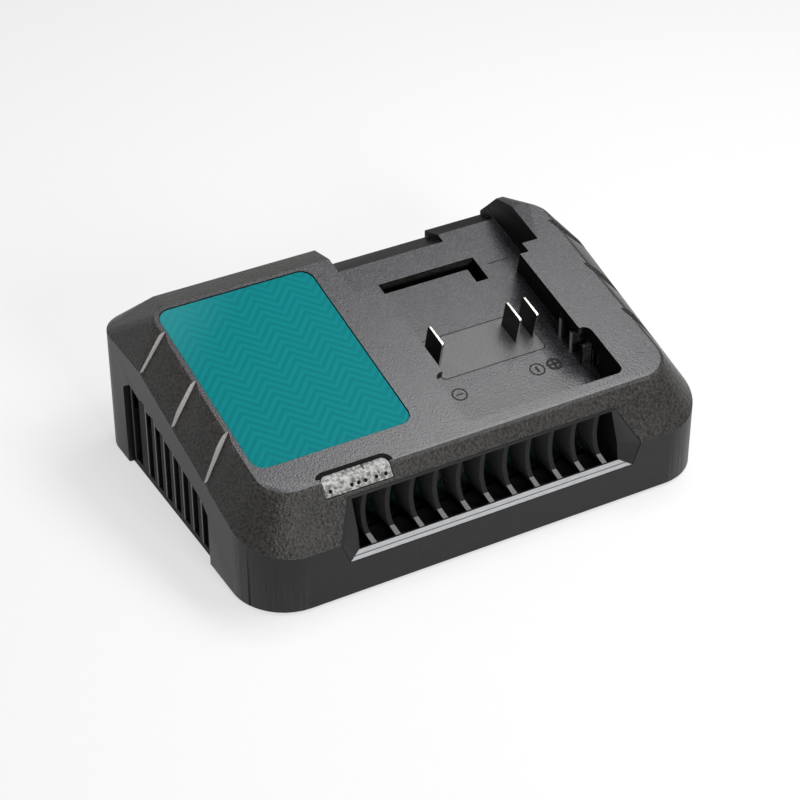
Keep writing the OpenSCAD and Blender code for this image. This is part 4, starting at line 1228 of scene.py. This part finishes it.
@dataclass
class Studio:
    """Camera, floor, soft lights and the white surroundings."""

    azimuth: float = -29.27
    elevation: float = 34.79
    lens: float = 105.5
    camera_place: Vector = field(default_factory=lambda: Vector((-0.33792, -0.59989, 0.50099)))
    floor_half: float = 3.0
    floor_glow: float = 0.6
    surround: float = 0.22

    def build(self) -> None:
        """Builds the camera, the floor, the lamps and the world."""
        self.add_camera()
        self.add_floor()
        self.add_lamp("overhead_box", place=(0.27, 0.02, 0.6), size=(0.45, 0.26), power=2.3)
        self.add_lamp("front_box", place=(0.44, -0.44, 0.97), size=(0.4, 0.55), power=3.2)
        self.add_lamp("low_front_box", place=(-0.02, -1.13, 0.53), size=(0.3, 0.3), power=7.0)
        self.add_lamp("rear_left_box", place=(-1.1, 0.7, 0.7), size=(0.7, 0.7), power=2)
        self.add_world()
        LOG.info("studio ready")

    def add_camera(self) -> None:
        """Places the camera at its viewpoint and makes it the scene's own."""
        data = bpy.data.cameras.new("studio_camera")
        data.lens = self.lens
        data.sensor_width = 36
        data.clip_start = 0.02
        camera = add_object("studio_camera", data)
        side, rise = math.radians(self.azimuth), math.radians(self.elevation)
        level = math.cos(rise)
        back = Vector((math.sin(side) * level, -math.cos(side) * level, math.sin(rise)))
        camera.location = self.camera_place
        camera.rotation_mode = "QUATERNION"
        camera.rotation_quaternion = back.to_track_quat("Z", "Y")
        bpy.context.scene.camera = camera

    def add_floor(self) -> None:
        """Lays a plain pale floor under the object."""
        floor = mesh_object("floor", lambda shape: bmesh.ops.create_grid(
            shape, x_segments=1, y_segments=1, size=self.floor_half))
        graph = MaterialGraph("floor_paper")
        fibre = graph.noise(6 * MM, 3)
        graph.paint(graph.blend_colours(fibre, Colour(246, 246, 246), Colour(250, 250, 250)))
        graph.surface(Roughness=0.9, Specular_IOR_Level=0.1)
        glow = graph.add("ShaderNodeEmission", Strength=1.0)
        mix = graph.add("ShaderNodeMixShader")
        seen = self.seen_directly(graph, self.floor_glow)
        for index, source in enumerate((seen, graph.shader, glow)):
            graph.feed(source, mix.inputs[index])
        graph.feed(mix, graph.output.inputs["Surface"])
        floor.data.materials.append(graph.material)

    def seen_directly(self, graph: NodeGraph, share: float) -> Node:
        """Tells rays that show the surroundings from rays that only light the object.

        Args:
            graph: Node tree to add to.
            share: Value for a ray from the camera, a reflection or a clear piece.

        Returns:
            A node whose first output is the share for such rays, and zero for the others.
        """
        rays = graph.add("ShaderNodeLightPath").outputs
        opaque = graph.math("MAXIMUM", rays["Is Camera Ray"], rays["Is Glossy Ray"])
        shown = graph.math("MAXIMUM", opaque, rays["Is Transmission Ray"])
        return graph.math("MULTIPLY", shown, share)

    def add_lamp(self, name: str, place: tuple[float, float, float], size: Place,
                 power: float) -> None:
        """Adds a soft rectangular lamp that points at the object.

        Args:
            name: Name of the lamp.
            place: Where it hangs.
            size: Its two sides.
            power: Power in watts.
        """
        data = bpy.data.lights.new(name, "AREA")
        data.shape = "RECTANGLE"
        data.size, data.size_y = size
        data.energy = power
        lamp = add_object(name, data)
        lamp.location = place
        lamp.rotation_mode = "QUATERNION"
        lamp.rotation_quaternion = Vector(place).to_track_quat("Z", "Y")

    def add_world(self) -> None:
        """Surrounds the scene with white that lights it softly."""
        world = bpy.data.worlds.new("surround")
        bpy.context.scene.world = world
        graph = NodeGraph(world)
        glow = graph.add("ShaderNodeBackground")
        seen = self.seen_directly(graph, 1.0)
        graph.feed(graph.remap(seen, 0.0, 1.0, self.surround, 1.0), glow.inputs["Strength"])
        graph.feed(glow, graph.add("ShaderNodeOutputWorld").inputs["Surface"])


def main() -> None:
    """Builds every sub-assembly and the studio in order."""
    logging.basicConfig(level=logging.INFO, format="%(name)s: %(message)s")
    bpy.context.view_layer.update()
    Studio().build()
    for assembly in (Housing(), LabelPanel(), Louvre(), Contacts(), Indicator(), PowerInlet(), Supply(),
                     CoolingFan(), FanRotor(), Fixings()):
        assembly.build()
    bpy.context.scene.view_settings.view_transform = "Standard"


if __name__ == "__main__":
    main()
